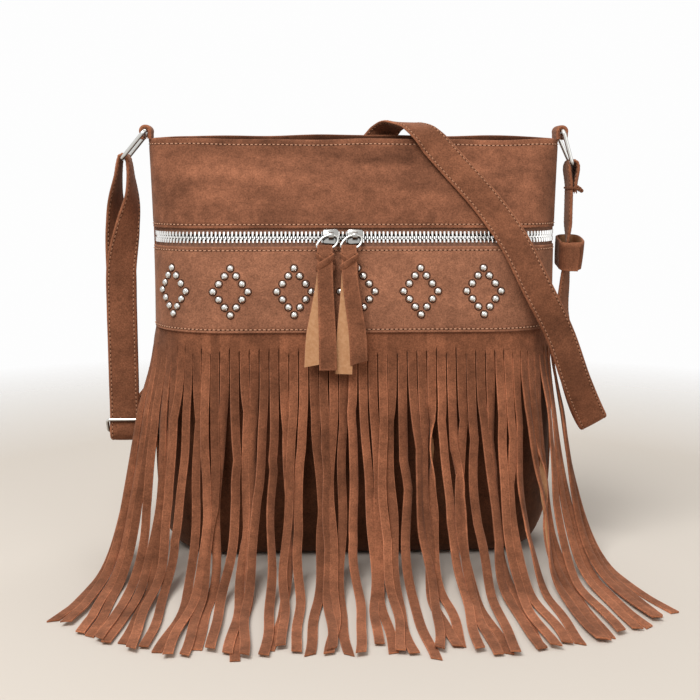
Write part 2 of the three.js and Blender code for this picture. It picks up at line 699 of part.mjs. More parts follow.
// The strip of a tassel, from its back tail up over the pull's bar and down to its front tail.
// The tassels hang a little away from each other, so that either can be lifted alone.
function tasselRoute(x, outwards) {
  const frame = new THREE.Euler(ZIP_TILT, 0, 0);
  const bar = vec(0, -PULL_DROP, LUG_MIDDLE).applyEuler(frame).add(CHAIN);
  const bend = PULL_WIRE + LAYER_GAP + TASSEL_THICKNESS / 2;
  const clear = STUD_RISE + 2 * LAYER_GAP + KNOT_WRAP + TASSEL_THICKNESS / 2;
  const face = (z) => -section(FRONT, z).depth - LAYER_GAP / 2 - clear;
  const drop = bar.z - TASSEL_END;
  const tail = (side) =>
    [0.06, 0.2, 0.45, 0.72, 1].map((share) => {
      const z = bar.z - drop * share;
      const y = Math.min(face(z), bar.y + bend) - (side < 0 ? TAILS_APART : 0);
      const spread = outwards * TASSEL_SPREAD - side * TASSEL_SPLAY;
      const middle = x + spread * THREE.MathUtils.smoothstep(share, 0.2, 1);
      return { at: vec(middle, y, z - side * 2), out: vec(0, side, 0) };
    });
  const over = [180, 135, 90, 45, 0].map((angle) => {
    const out = vec(0, -Math.cos(angle * DEGREE), Math.sin(angle * DEGREE));
    return { at: vec(x, bar.y, bar.z).addScaledVector(out, bend), out };
  });
  return [...tail(1).reverse(), ...over, ...tail(-1)];
}

// Knot that binds both tails under the pull.
function makeKnot(route) {
  const [upper, lower] = [4, 3].map((k) => route[k].at.clone().lerp(route[route.length - 1 - k].at, 0.5));
  const rows = [[0.1, 0.86], [0.45, 1], [0.8, 1], [1.1, 0.86]];
  const halfWidth = TASSEL_HALF_WIDTH + KNOT_WRAP;
  const halfDepth = (TAILS_APART + TASSEL_THICKNESS) / 2 + KNOT_WRAP;
  const corner = 1.45 * KNOT_WRAP;
  return loft(
    rows.map(([share, size]) => {
      const middle = upper.clone().lerp(lower, share);
      const outline = roundedOutline(size * halfWidth, size * halfDepth, corner, 1);
      return outline.map(([dx, dy]) => middle.clone().add(vec(dx, dy, 0)));
    }),
  );
}

function makeTassel(x, outwards) {
  const route = tasselRoute(x, outwards);
  return joined([ribbon(route, 2 * TASSEL_HALF_WIDTH, TASSEL_THICKNESS), makeKnot(route)]);
}

// Strap hardware.

const RING_HALF_SPAN = STRAP_WIDTH / 2 + RING_SIDE_CLEARANCE + RING_WIRE;
const TAB_HOLE = RING_WIRE + LAYER_GAP;
const TAB_RADIUS = TAB_HOLE + TAB_LEATHER;
const TAB_HEIGHT = BAG_HEIGHT + LAYER_GAP + TAB_RADIUS;

const ringPivot = (side) => vec(side * (RIM_HALF_WIDTH + TAB_OVERHANG), 0, TAB_HEIGHT);
const ringLean = (side) => (side < 0 ? LEFT_RING_LEAN : RIGHT_RING_LEAN) * DEGREE;

// Middle of the lower bar of a ring, which the strap passes over.
function ringBar(side) {
  const lean = ringLean(side);
  return ringPivot(side).add(vec(side * Math.sin(lean), 0, -Math.cos(lean)).multiplyScalar(RING_DROP));
}

// Rectangular wire ring, hanging from its upper bar at the origin along local -Z.
function makeRing() {
  const outline = roundedOutline(RING_HALF_SPAN, RING_DROP / 2, 2 * RING_WIRE);
  const points = outline.map(([y, z]) => vec(0, y, z - RING_DROP / 2));
  return wireLoop(points, vec(1, 0, 0), RING_WIRE);
}

// Leather tab wrapped round the upper bar of a ring, with its foot on the corner of the rim.
function makeTab() {
  const shape = new THREE.Shape();
  shape.absarc(0, 0, TAB_RADIUS, -0.25 * Math.PI, 1.25 * Math.PI, false);
  shape.lineTo(-TAB_RADIUS * 0.7, -TAB_RADIUS);
  shape.lineTo(TAB_RADIUS * 0.7, -TAB_RADIUS);
  const hole = new THREE.Path();
  hole.absarc(0, 0, TAB_HOLE, 0, 2 * Math.PI, true);
  shape.holes.push(hole);
  return slab(shape, TAB_WIDTH, 8).rotateX(Math.PI / 2);
}

// Strap.

const STRAP_BEND = RING_WIRE + STRAP_SLACK + STRAP_THICKNESS / 2;
const LAYERS_APART = STRAP_THICKNESS + 2 * STRAP_SLACK;

// Place beside or behind the bag, in shares of its half width, of its wall's bulge and of its height.
const beside = (x, y, z) =>
  vec(x * BELLY_HALF_WIDTH, y * (y < 0 ? FRONT_BULGE : BACK_BULGE), z * BAG_HEIGHT);

// Place over the mouth, in shares of its half width, its half depth and the bag's height.
const overMouth = (x, y, z) => vec(x * RIM_HALF_WIDTH, y * MOUTH_HALF_DEPTH, z * BAG_HEIGHT);

// Bar of the wire slide that the strap's end is sewn round, and the bar in front of the strap.
const SLIDE_BAR = beside(-1.1623, -0.05, 0.2829);
const SLIDE_FRONT_BAR = SLIDE_BAR.clone().add(vec(0, -SLIDE_LEAN, SLIDE_RISE));
const SLIDE_INNER_BEND = SLIDE_WIRE + STRAP_SLACK + STRAP_THICKNESS / 2;
const SLIDE_OUTER_BEND = SLIDE_INNER_BEND + LAYERS_APART;

const station = (at, ...out) => ({ at, out: vec(...out) });

// Stations on an arc round a centre, from one direction to another through a third at right angles.
function bend(centre, radius, first, middle, angles) {
  return angles.map((angle) => {
    const out = first.clone().multiplyScalar(Math.cos(angle * DEGREE));
    out.addScaledVector(middle, Math.sin(angle * DEGREE));
    return { at: centre.clone().addScaledVector(out, radius), out };
  });
}

const KEEPER_MIDDLE = ringBar(1).z - KEEPER_BELOW_RING;

// Sewn end round the right ring, then down through the keeper to the hanging fold.
function rightDrop() {
  const bar = ringBar(1);
  const half = LAYERS_APART / 2;
  const swell = 0.4;
  const hang = (z) => station(vec(bar.x - half, 0, z), -1, 0, 0);
  const sewn = [
    station(vec(bar.x + half, 0, bar.z - SEWN_LENGTH), 1, 0, 0),
    station(vec(bar.x + half + swell, 0, bar.z - SEWN_LENGTH / 2), 1, 0, 0),
  ];
  const over = bend(bar, STRAP_BEND, vec(1, 0, 0), vec(0, 0, 1), [0, 36, 72, 108, 144, 180]);
  const down = [
    station(vec(bar.x - half - swell, 0, bar.z - SEWN_LENGTH / 2), -1, 0, 0),
    hang(bar.z - SEWN_LENGTH),
    hang(KEEPER_MIDDLE + KEEPER_HEIGHT),
    hang(KEEPER_MIDDLE),
    hang(KEEPER_MIDDLE - KEEPER_HEIGHT),
    station(beside(1.0728, -0.0333, 0.5789), -0.85, 0.5, 0),
    station(beside(1.0927, -0.1333, 0.4934), -0.5, 0.85, 0),
    station(beside(1.1225, -0.25, 0.4079), -0.15, 1, 0),
  ];
  return [...sewn, ...over, ...down];
}

// Station on the straight middle of a wall, clear of what stands out of it, at shares of the bag's half width
// and height.
function laid(side, across, rise, clear) {
  const z = rise * BAG_HEIGHT;
  const { depth } = section(side, z);
  const step = 1;
  const lean = (section(side, z - step).depth - section(side, z + step).depth) / (2 * step);
  const out = vec(0, side, lean).normalize();
  const face = vec(across * BELLY_HALF_WIDTH, side * (depth + LAYER_GAP / 2), z);
  return { at: face.addScaledVector(out, clear + STRAP_THICKNESS / 2), out };
}

// Hanging fold at the right, and the run up across the front to the rim.
function frontRun() {
  const downwards = vec(0.48, 0, -0.88);
  const middle = beside(1.1563, -0.4333, 0.3289);
  const fold = bend(middle, STRAP_FOLD, vec(0, 1, 0), downwards, [0, 36, 72, 108, 144, 180]);
  const overStuds = STUD_RISE + LAYER_GAP;
  return [
    ...fold,
    station(beside(1.0662, -0.7, 0.4178), 0.1, -1, 0),
    station(beside(0.9669, -0.8167, 0.5395), 0.2, -1, 0),
    laid(FRONT, 0.8477, 0.648, overStuds),
    laid(FRONT, 0.7285, 0.7664, overStuds),
    laid(FRONT, 0.6026, 0.8553, STRAP_EASE),
    laid(FRONT, 0.4636, 0.9342, STRAP_EASE),
    laid(FRONT, 0.3775, 0.9836, STRAP_EASE),
  ];
}

// Over both rims and down the back to the left.
function backRun() {
  return [
    station(overMouth(0.3311, -1.2308, 1.0132), 0, -0.6, 0.8),
    station(overMouth(0.2848, -0.5385, 1.0313), 0, -0.2, 1),
    station(overMouth(0.2384, 0.2308, 1.0362), 0, 0.05, 1),
    station(overMouth(0.1854, 1, 1.0329), 0, 0.4, 0.9),
    station(overMouth(0.1391, 1.5, 1.0099), 0, 0.85, 0.5),
    laid(BACK, 0.0795, 0.9704, STRAP_EASE),
    laid(BACK, -0.0397, 0.898, STRAP_EASE),
    laid(BACK, -0.2119, 0.7961, STRAP_EASE),
    laid(BACK, -0.4106, 0.6776, STRAP_EASE),
    laid(BACK, -0.6424, 0.5526, STRAP_EASE),
    station(beside(-0.8477, 0.963, 0.4441), -0.3, 0.95, 0),
    station(beside(-0.9934, 0.7407, 0.3684), -0.35, 0.9, -0.2),
    station(beside(-1.0993, 0.4444, 0.3026), -0.2, 0.7, -0.65),
    station(beside(-1.149, 0.1852, 0.2714), 0, 0.35, -0.95),
  ];
}

// Hanging loop at the left: round the slide, up to the ring, over its bar and back to the slide.
function leftLoop() {
  const bar = ringBar(-1);
  const left = SLIDE_BAR.x;
  const around = bend(SLIDE_BAR, SLIDE_OUTER_BEND, vec(0, 0, -1), vec(0, -1, 0), [10, 40, 70, 95]);
  const behindBar = SLIDE_FRONT_BAR.y + SLIDE_INNER_BEND;
  const middle = behindBar + LAYERS_APART / 2;
  const rows = [
    [0, 0, STRAP_BEND],
    [0.06, 4, 0.7 * LOOP_SPREAD],
    [0.14, 18, LOOP_SPREAD],
    [0.26, 48, 0.91 * LOOP_SPREAD],
    [0.4, 78, 0.52 * LOOP_SPREAD],
    [0.55, 90, 0.26 * LOOP_SPREAD],
    [0.7, 90, LAYERS_APART / 2],
    [0.85, 90, LAYERS_APART / 2],
    [1, 90, LAYERS_APART / 2],
  ];
  const low = SLIDE_FRONT_BAR.z;
  const hang = (side) =>
    rows.map(([share, turn, apart]) => {
      const out = vec(Math.cos(turn * DEGREE), -Math.sin(turn * DEGREE), 0).multiplyScalar(side);
      const ease = THREE.MathUtils.smoothstep(share, 0, 0.5);
      const at = vec(
        THREE.MathUtils.lerp(bar.x, left, ease),
        middle * ease,
        THREE.MathUtils.lerp(bar.z, low, share),
      );
      return { at: at.addScaledVector(out, apart), out };
    });
  const over = bend(bar, STRAP_BEND, vec(1, 0, 0), vec(0, 0, 1), [30, 60, 90, 120, 150]);
  const sewn = bend(SLIDE_BAR, SLIDE_INNER_BEND, vec(0, 1, 0), vec(0, 0, -1), [-25, 15, 55, 95, 135, 175]);
  return [...around, ...hang(1).reverse(), ...over, ...hang(-1), ...sewn];
}

const strapRoute = () => [...rightDrop(), ...frontRun(), ...backRun(), ...leftLoop()];

// Leather keeper: a rounded sleeve on the strap under the right ring.
function makeKeeper() {
  const halfWidth = STRAP_WIDTH / 2 + LAYER_GAP;
  const sleeve = (extra, height) => {
    const outline = roundedOutline(KEEPER_HALF_DEPTH + extra, halfWidth + extra, KEEPER_CORNER + extra, 4);
    return loft([-height / 2, height / 2].map((z) => outline.map(([x, y]) => vec(x, y, z))));
  };
  return cut(sleeve(KEEPER_LEATHER, KEEPER_HEIGHT), sleeve(0, KEEPER_HEIGHT + 2));
}

// Wire slide: a flat loop with one bar in front of the strap and one inside its sewn end.
function makeSlide() {
  const rise = SLIDE_FRONT_BAR.clone().sub(SLIDE_BAR);
  const halfHeight = rise.length() / 2;
  const up = rise.clone().normalize();
  const halfSpan = STRAP_WIDTH / 2 + RING_SIDE_CLEARANCE + SLIDE_WIRE;
  const middle = SLIDE_BAR.clone().addScaledVector(rise, 0.5);
  const points = roundedOutline(halfSpan, halfHeight, 2 * SLIDE_WIRE).map(([x, h]) =>
    middle.clone().add(vec(x, 0, 0)).addScaledVector(up, h),
  );
  return wireLoop(points, vec(1, 0, 0).cross(up).normalize(), SLIDE_WIRE);
}

// Materials.

const suede = { color: 0x94614a, roughness: 0.95, metalness: 0 };
const suedeUnderside = { color: 0xb98a62, roughness: 0.95, metalness: 0 };
const tapeCloth = { color: 0x7a4e38, roughness: 0.9, metalness: 0 };
const liningCloth = { color: 0x8a7663, roughness: 0.85, metalness: 0 };
const nickel = { color: 0xc4c4c2, roughness: 0.3, metalness: 1 };

const bag = new THREE.Group();

function add(name, geometry, look, parent = bag) {
  const mesh = new THREE.Mesh(geometry, new THREE.MeshStandardMaterial(look));
  mesh.name = name;
  parent.add(mesh);
  return mesh;
}

// Body.
add("front_yoke", layer(FRONT, levels(WINDOW_TOP, BAG_HEIGHT), 0, SUEDE), suede);
add("stud_band", makeStudBand(), suede);
add("front_panel", layer(FRONT, levels(0, HEADER_TOP), UNDER_HEADER, SUEDE), suede);
add("back_panel", layer(BACK, BACK_LEVELS, 0, SUEDE), suede);
add("base_panel", makeBase(), suede);
add("rim_facing", makeRimFacing(), suede);
add("lining", makeLining(), liningCloth);
add("pocket_bag", makePocket(), liningCloth);
add("fringe", makeFringe(), suede);

// Zip, with the sliders' mouths towards each other.
for (const [name, up] of [["upper", 1], ["lower", -1]]) {
  add("zip_tape_" + name, makeTape(up), tapeCloth);
  add("zip_teeth_" + name, makeTeeth(up), nickel);
}
for (const [name, side] of [["left", -1], ["right", 1]]) {
  const x = SLIDER_MEET + (side * SLIDERS_APART) / 2;
  const seat = new THREE.Group();
  seat.position.set(x, CHAIN.y, CHAIN.z);
  seat.rotation.x = ZIP_TILT;
  bag.add(seat);
  add("zip_slider_" + name, makeSlider(-side), nickel, seat);
  add("zip_pull_" + name, makePull(), nickel, seat);
  add("tassel_" + name, makeTassel(x, side), suedeUnderside);
}

// Strap and its fittings.
for (const [name, side] of [["left", -1], ["right", 1]]) {
  const hinge = new THREE.Group();
  hinge.position.copy(ringPivot(side));
  bag.add(hinge);
  add("ring_tab_" + name, makeTab(), suede, hinge);
  const ring = add("strap_ring_" + name, makeRing(), nickel, hinge);
  ring.rotation.y = -side * ringLean(side);
}
add("shoulder_strap", ribbon(strapRoute(), STRAP_WIDTH, STRAP_THICKNESS), suede);
const keeper = add("strap_keeper", makeKeeper(), suede);
keeper.position.set(ringBar(1).x - LAYERS_APART / 2, 0, KEEPER_MIDDLE);
add("strap_slide", makeSlide(), nickel);

export default bag;
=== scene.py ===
"""Visual model of a fringed suede shoulder bag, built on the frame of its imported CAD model.

Sizes are in millimetres until a mesh is made. X runs along the bag's width, -Y is its front and +Z is up.
"""

import logging
import math
from dataclasses import dataclass, field
from enum import Enum

import bmesh
import bpy
import numpy as np
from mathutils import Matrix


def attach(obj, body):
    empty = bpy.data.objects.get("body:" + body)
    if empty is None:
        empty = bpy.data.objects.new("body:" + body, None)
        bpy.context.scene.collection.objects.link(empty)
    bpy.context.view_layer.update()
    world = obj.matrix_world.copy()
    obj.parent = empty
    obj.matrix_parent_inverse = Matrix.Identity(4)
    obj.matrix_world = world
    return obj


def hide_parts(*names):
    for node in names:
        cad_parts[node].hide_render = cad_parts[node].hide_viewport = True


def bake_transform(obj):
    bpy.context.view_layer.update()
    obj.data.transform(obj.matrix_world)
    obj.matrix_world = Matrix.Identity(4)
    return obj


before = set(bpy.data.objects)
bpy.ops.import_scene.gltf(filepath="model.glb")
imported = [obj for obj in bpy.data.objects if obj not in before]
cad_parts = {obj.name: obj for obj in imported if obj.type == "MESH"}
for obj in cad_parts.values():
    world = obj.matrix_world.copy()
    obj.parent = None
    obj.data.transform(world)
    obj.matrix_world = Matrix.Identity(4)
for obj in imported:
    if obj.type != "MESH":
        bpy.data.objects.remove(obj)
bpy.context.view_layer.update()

LOG = logging.getLogger("fringed_bag")
METRES = 0.001  # metres in a millimetre
LAYER_GAP = 0.3  # air between two layers
MERGE = 1e-6  # metres within which points are one
SHARP_ANGLE = 55.0  # degrees above which an edge stays sharp
EDGE_ROUND = 0.3  # share of a strip's thickness by which its cut edges are rounded
FINE_RELIEF = 0.0002  # metres of relief on thread, smooth leather and cloth
LIGHT_SIDE = (-0.3, -0.55, 0.78)  # direction of the fixed light against which polished faces get painted shade
SHADE_SPAN = (-0.45, 0.35)  # turn away from that light over which the painted shade grows from none to full
UP = (0.0, 0.0, 1.0)

Array = np.ndarray
Colour = tuple[float, float, float]
Pair = tuple[float, float]
Triple = tuple[float, float, float]
Vector = tuple[float, ...]
Inputs = dict[str | int, object]
Station = tuple[Vector, Vector]
Piece = bpy.types.Object
Material = bpy.types.Material
Socket = bpy.types.NodeSocket


class Side(Enum):
    """Wall of the bag, with the sign of its Y."""

    FRONT = -1
    BACK = 1


class Hand(Enum):
    """Left or right end of the bag as seen from the front, with the sign of its X."""

    LEFT = -1
    RIGHT = 1

    @property
    def word(self) -> str:
        """Name of the hand as node names spell it."""
        return self.name.lower()


class Slot(Enum):
    """Material slot that a piece belongs to."""

    SUEDE = "suede"
    LINING = "lining"
    TAPE = "zip_tape"
    NICKEL = "nickel"


class Held(Enum):
    """How a soft sheet keeps its shape."""

    HUNG = "hung"
    STRETCHED = "stretched"
    FOLDED = "folded"


class Face(Enum):
    """Part of a sheet that a face belongs to, in the order of its materials."""

    OUTER = 0
    INNER = 1
    EDGE = 2


def unit(vectors: Array) -> Array:
    """Vectors scaled to length one along the last axis."""
    return vectors / np.maximum(np.linalg.norm(vectors, axis=-1, keepdims=True), 1e-9)


def smoothstep(value: Array | float, low: float, high: float) -> Array:
    """Smooth rise from 0 at low to 1 at high."""
    t = np.clip((np.asarray(value, float) - low) / (high - low), 0.0, 1.0)
    return t * t * (3.0 - 2.0 * t)


def scatter(index: int, salt: int) -> float:
    """Fixed scatter between -1 and 1, the same in every run."""
    wave = math.sin((index + 1) * 12.9898 + salt * 78.233) * 43758.5453
    return 2.0 * (wave - math.floor(wave)) - 1.0


def painted_turned_away_shade(outward: Array) -> Array:
    """Painted shade for a mark: 0 on faces towards a fixed light, -1 on faces turned away, in place of dark
    reflections.
    """
    return -smoothstep(-(outward @ np.array(LIGHT_SIDE)), *SHADE_SPAN)


def linked(name: str, data: bpy.types.ID) -> Piece:
    """New object with the given data, in the scene."""
    piece = bpy.data.objects.new(name, data)
    bpy.context.scene.collection.objects.link(piece)
    return piece


def enter(piece: Piece, body: str, slot: Slot, *nodes: str) -> Piece:
    """Puts a finished piece on its body and hides the CAD nodes that it replaces.

    Args:
        piece: the piece.
        body: body that it rides on.
        slot: slot of its material; not used.
        nodes: CAD nodes that it replaces, if any.

    Returns:
        The piece.
    """
    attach(piece, body)
    if nodes:
        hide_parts(*nodes)
    return piece


def rounded_outline(half_width: float, half_height: float, corner: float, steps: int) -> Array:
    """Rectangle with round corners.

    Args:
        half_width: half of its first side.
        half_height: half of its second side.
        corner: radius of its corners.
        steps: parts of each quarter round.

    Returns:
        Points round (0, 0), one row each.
    """
    points = []
    for sx, sy, start in ((1, 1, 0), (-1, 1, 90), (-1, -1, 180), (1, -1, 270)):
        for angle in np.radians(start + np.linspace(0, 90, steps + 1)):
            x = sx * (half_width - corner) + corner * math.cos(angle)
            points.append((x, sy * (half_height - corner) + corner * math.sin(angle)))
    return np.array(points)


@dataclass
class Route:
    """Line of stations with the direction that a strip's face looks to at each."""

    at: Array
    out: Array

    @classmethod
    def of(cls, stations: list[Station]) -> "Route":
        """Route through pairs of place and direction."""
        return cls(np.array([s[0] for s in stations], float), np.array([s[1] for s in stations], float))

    def __add__(self, other: "Route") -> "Route":
        """This route, then the other."""
        return Route(np.vstack([self.at, other.at]), np.vstack([self.out, other.out]))

    @property
    def runs(self) -> Array:
        """Length along the route up to each station."""
        gaps = np.linalg.norm(np.diff(self.at, axis=0), axis=1)
        return np.concatenate([[0.0], np.cumsum(gaps)])

    def _between(self, values: Array, runs: Array) -> Array:
        """Values of the stations, interpolated at other lengths along the route."""
        return np.stack([np.interp(runs, self.runs, column) for column in values.T], axis=1)

    def smoothed(self, step: float) -> "Route":
        """Curve through the stations at about the given spacing.

        Args:
            step: distance between the new stations.

        Returns:
            The finer route.
        """
        s = self.runs
        gaps = np.diff(s)[:, None]
        chords = np.diff(self.at, axis=0) / gaps
        inner = (gaps[1:] * chords[:-1] + gaps[:-1] * chords[1:]) / (gaps[1:] + gaps[:-1])
        slopes = np.vstack([chords[:1], inner, chords[-1:]])
        t = np.linspace(0.0, s[-1], max(int(s[-1] / step), 2) + 1)
        k = np.clip(np.searchsorted(s, t, side="right") - 1, 0, len(s) - 2)
        h = (s[k + 1] - s[k])[:, None]
        u = (t - s[k])[:, None] / h
        at = (
            (1 + 2 * u) * (1 - u) ** 2 * self.at[k]
            + u * (1 - u) ** 2 * h * slopes[k]
            + u**2 * (3 - 2 * u) * self.at[k + 1]
            + u**2 * (u - 1) * h * slopes[k + 1]
        )
        return Route(at, unit(self._between(self.out, t)))

    def axes(self) -> tuple[Array, Array, Array]:
        """Directions along the route, across it and out of it at each station."""
        along = unit(np.gradient(self.at, axis=0))
        across = unit(np.cross(along, self.out))
        return along, across, np.cross(across, along)

    def trimmed(self, length: float) -> "Route":
        """The same route, shorter by a length at both ends."""
        s = self.runs
        t = np.concatenate([[length], s[(s > length) & (s < s[-1] - length)], [s[-1] - length]])
        return Route(self._between(self.at, t), self._between(self.out, t))

    def shifted(self, across: float, out: float) -> "Route":
        """Parallel route, moved sideways and outwards."""
        _, side, up = self.axes()
        return Route(self.at + across * side + out * up, up)


@dataclass(frozen=True)
class Profile:
    """Closed section of a strip: points (across, out), and the part of the strip at each edge."""

    points: Array
    faces: tuple[Face, ...]

    @classmethod
    def flat(cls, width: float, thickness: float, columns: int = 6, crown: float = 0.0) -> "Profile":
        """Flat section with softened edges.

        Args:
            width: full width.
            thickness: full thickness.
            columns: parts across each face.
            crown: rise of the middle of the section, as of a strip that curls.

        Returns:
            The section.
        """
        u = np.linspace(-1.0, 1.0, columns + 1)
        return cls.formed(width, thickness, u, crown * (1.0 - u**2), crown * (1.0 - u**2))

    @classmethod
    def formed(cls, width: float, thickness: float, u: Array, upper: Array, lower: Array) -> "Profile":
        """Section whose two faces have their own relief.

        Args:
            width: full width.
            thickness: full thickness.
            u: places across the faces, from -1 to 1.
            upper: height added to the outer face at each place.
            lower: height added to the inner face at each place.

        Returns:
            The section.
        """
        x = u * (width / 2.0 - EDGE_ROUND * thickness)
        half = thickness / 2.0
        points = [*zip(x, half + upper), (width / 2.0, (upper[-1] + lower[-1]) / 2.0)]
        points += [*zip(x[::-1], (lower - half)[::-1]), (-width / 2.0, (upper[0] + lower[0]) / 2.0)]
        columns = len(u) - 1
        faces = (Face.OUTER,) * columns + (Face.EDGE,) * 2 + (Face.INNER,) * columns + (Face.EDGE,) * 2
        return cls(np.array(points), faces)


@dataclass
class MeshData:
    """Points in millimetres, faces, the material place of each face, and named values per point."""

    points: Array
    faces: list[tuple[int, ...]]
    places: list[int]
    marks: dict[str, Array] = field(default_factory=dict)

    @classmethod
    def sheet(cls, outer: Array, inner: Array, wrap: bool = False) -> "MeshData":
        """Closed sheet between two grids of points.

        Args:
            outer: rows and columns of points of the outer face.
            inner: the same for the inner face.
            wrap: whether the columns go all the way round.

        Returns:
            The sheet, with the mark edge at its border.
        """
        rows, columns = outer.shape[:2]
        count = rows * columns
        index = np.arange(count).reshape(rows, columns)
        ring = np.concatenate([index, index[:, :1]], axis=1) if wrap else index
        quads = np.stack([ring[:-1, :-1], ring[:-1, 1:], ring[1:, 1:], ring[1:, :-1]], -1).reshape(-1, 4)
        if wrap:
            borders = [(ring[0, :-1], ring[0, 1:]), (ring[-1, 1:], ring[-1, :-1])]
        else:
            loop = np.concatenate([index[0], index[1:, -1], index[-1, -2::-1], index[-2:0:-1, 0]])
            borders = [(loop, np.roll(loop, -1))]
        rims = [np.stack([b, a, a + count, b + count], -1) for a, b in borders]
        faces = np.vstack([quads, quads[:, ::-1] + count, *rims])
        sizes = (len(quads), len(quads), len(faces) - 2 * len(quads))
        places = np.repeat([Face.OUTER.value, Face.INNER.value, Face.EDGE.value], sizes)
        edge = np.zeros(2 * count)
        for a, _ in borders:
            edge[a] = edge[a + count] = 1.0
        points = np.vstack([outer.reshape(-1, 3), inner.reshape(-1, 3)])
        return cls(points, [tuple(f) for f in faces.tolist()], places.tolist(), {"edge": edge}).faced_out()

    @classmethod
    def tube(cls, rings: Array, faces: tuple[Face, ...], endless: bool = False) -> "MeshData":
        """Closed solid through a row of sections with the same number of points.

        Args:
            rings: sections, each a row of points.
            faces: part of each edge of the section.
            endless: whether the last section joins the first.

        Returns:
            The solid.
        """
        count, size = rings.shape[:2]
        index = np.arange(count * size).reshape(count, size)
        start = index if endless else index[:-1]
        end = np.roll(index, -1, axis=0) if endless else index[1:]
        quads = np.stack([start, np.roll(start, -1, axis=1), np.roll(end, -1, axis=1), end], -1)
        places = [face.value for face in faces] * len(quads)
        border = [float(Face.EDGE in (faces[j - 1], faces[j])) for j in range(size)]
        result = [tuple(f) for f in quads.reshape(-1, 4).tolist()]
        if not endless:
            result += [tuple(index[0, ::-1].tolist()), tuple(index[-1].tolist())]
            places += [Face.EDGE.value] * 2
        return cls(rings.reshape(-1, 3), result, places, {"edge": np.tile(border, count)}).faced_out()

    @classmethod
    def ribbon(
        cls, route: Route, profile: Profile, widths: Array | float = 1.0, cuts: Pair = (0.0, 0.0)
    ) -> "MeshData":
        """Strip of the given section along a route.

        Args:
            route: middle line of the strip.
            profile: its section.
            widths: factor on the section's width at each station.
            cuts: slant of the first and of the last end, as run along the strip for each unit across.

        Returns:
            The strip.
        """
        along, across, out = route.axes()
        x = profile.points[None, :, 0, None] * np.broadcast_to(widths, len(route.at))[:, None, None]
        rings = route.at[:, None] + across[:, None] * x + out[:, None] * profile.points[None, :, 1, None]
        for end, cut in zip((0, -1), cuts):
            rings[end] += along[end] * cut * x[end]
        return cls.tube(rings, profile.faces)

    @classmethod
    def wire(cls, points: Array, normal: Array, radius: float, sides: int = 14) -> "MeshData":
        """Closed round wire along points that lie in one plane.

        Args:
            points: middle line, which closes on itself.
            normal: direction out of its plane.
            radius: radius of the wire.
            sides: sides of its section.

        Returns:
            The wire, with a mark of painted shade on its sides turned from a fixed light.
        """
        along = unit(np.roll(points, -1, axis=0) - np.roll(points, 1, axis=0))
        across = np.cross(along, normal)
        angle = np.linspace(0.0, 2.0 * math.pi, sides, endpoint=False)[None, :, None]
        rings = points[:, None] + radius * (np.cos(angle) * across[:, None] + np.sin(angle) * normal)
        result = cls.tube(rings, (Face.OUTER,) * sides, endless=True)
        result.marks["shade"] = painted_turned_away_shade(((rings - points[:, None]) / radius).reshape(-1, 3))
        return result

    def faced_out(self) -> "MeshData":
        """The same closed mesh with its faces pointing out.

        Returns:
            This mesh.
        """
        middle = self.points.mean(axis=0)
        volume = 0.0
        for size in {len(f) for f in self.faces}:
            corners = self.points[np.array([f for f in self.faces if len(f) == size])] - middle
            for k in range(1, size - 1):
                volume += float(np.sum(corners[:, 0] * np.cross(corners[:, k], corners[:, k + 1])))
        if volume < 0:
            self.faces = [f[::-1] for f in self.faces]
        return self

    def joined(self, other: "MeshData") -> "MeshData":
        """This mesh and another as one.

        Args:
            other: mesh with its own marks.

        Returns:
            The joint mesh.
        """
        count = len(self.points)
        faces = self.faces + [tuple(i + count for i in f) for f in other.faces]
        marks = {}
        for name in {*self.marks, *other.marks}:
            mine = self.marks.get(name, np.zeros(count))
            marks[name] = np.concatenate([mine, other.marks.get(name, np.zeros(len(other.points)))])
        return MeshData(np.vstack([self.points, other.points]), faces, self.places + other.places, marks)

    def build(self, name: str, materials: list[Material]) -> Piece:
        """Mesh object in metres.

        Args:
            name: name of the object.
            materials: materials in the order of the places.

        Returns:
            The object, in the scene.
        """
        mesh = bpy.data.meshes.new(name)
        mesh.from_pydata((self.points * METRES).tolist(), [], self.faces)
        for material in materials:
            mesh.materials.append(material)
        places = np.minimum(self.places, len(materials) - 1).astype(np.int32)
        mesh.polygons.foreach_set("material_index", places)
        mesh.polygons.foreach_set("use_smooth", np.ones(len(self.faces), bool))
        for mark, values in self.marks.items():
            attribute = mesh.attributes.new(mark, "FLOAT", "POINT")
            attribute.data.foreach_set("value", values.astype(np.float32))
        mesh.set_sharp_from_angle(angle=math.radians(SHARP_ANGLE))
        mesh.update()
        return linked(name, mesh)


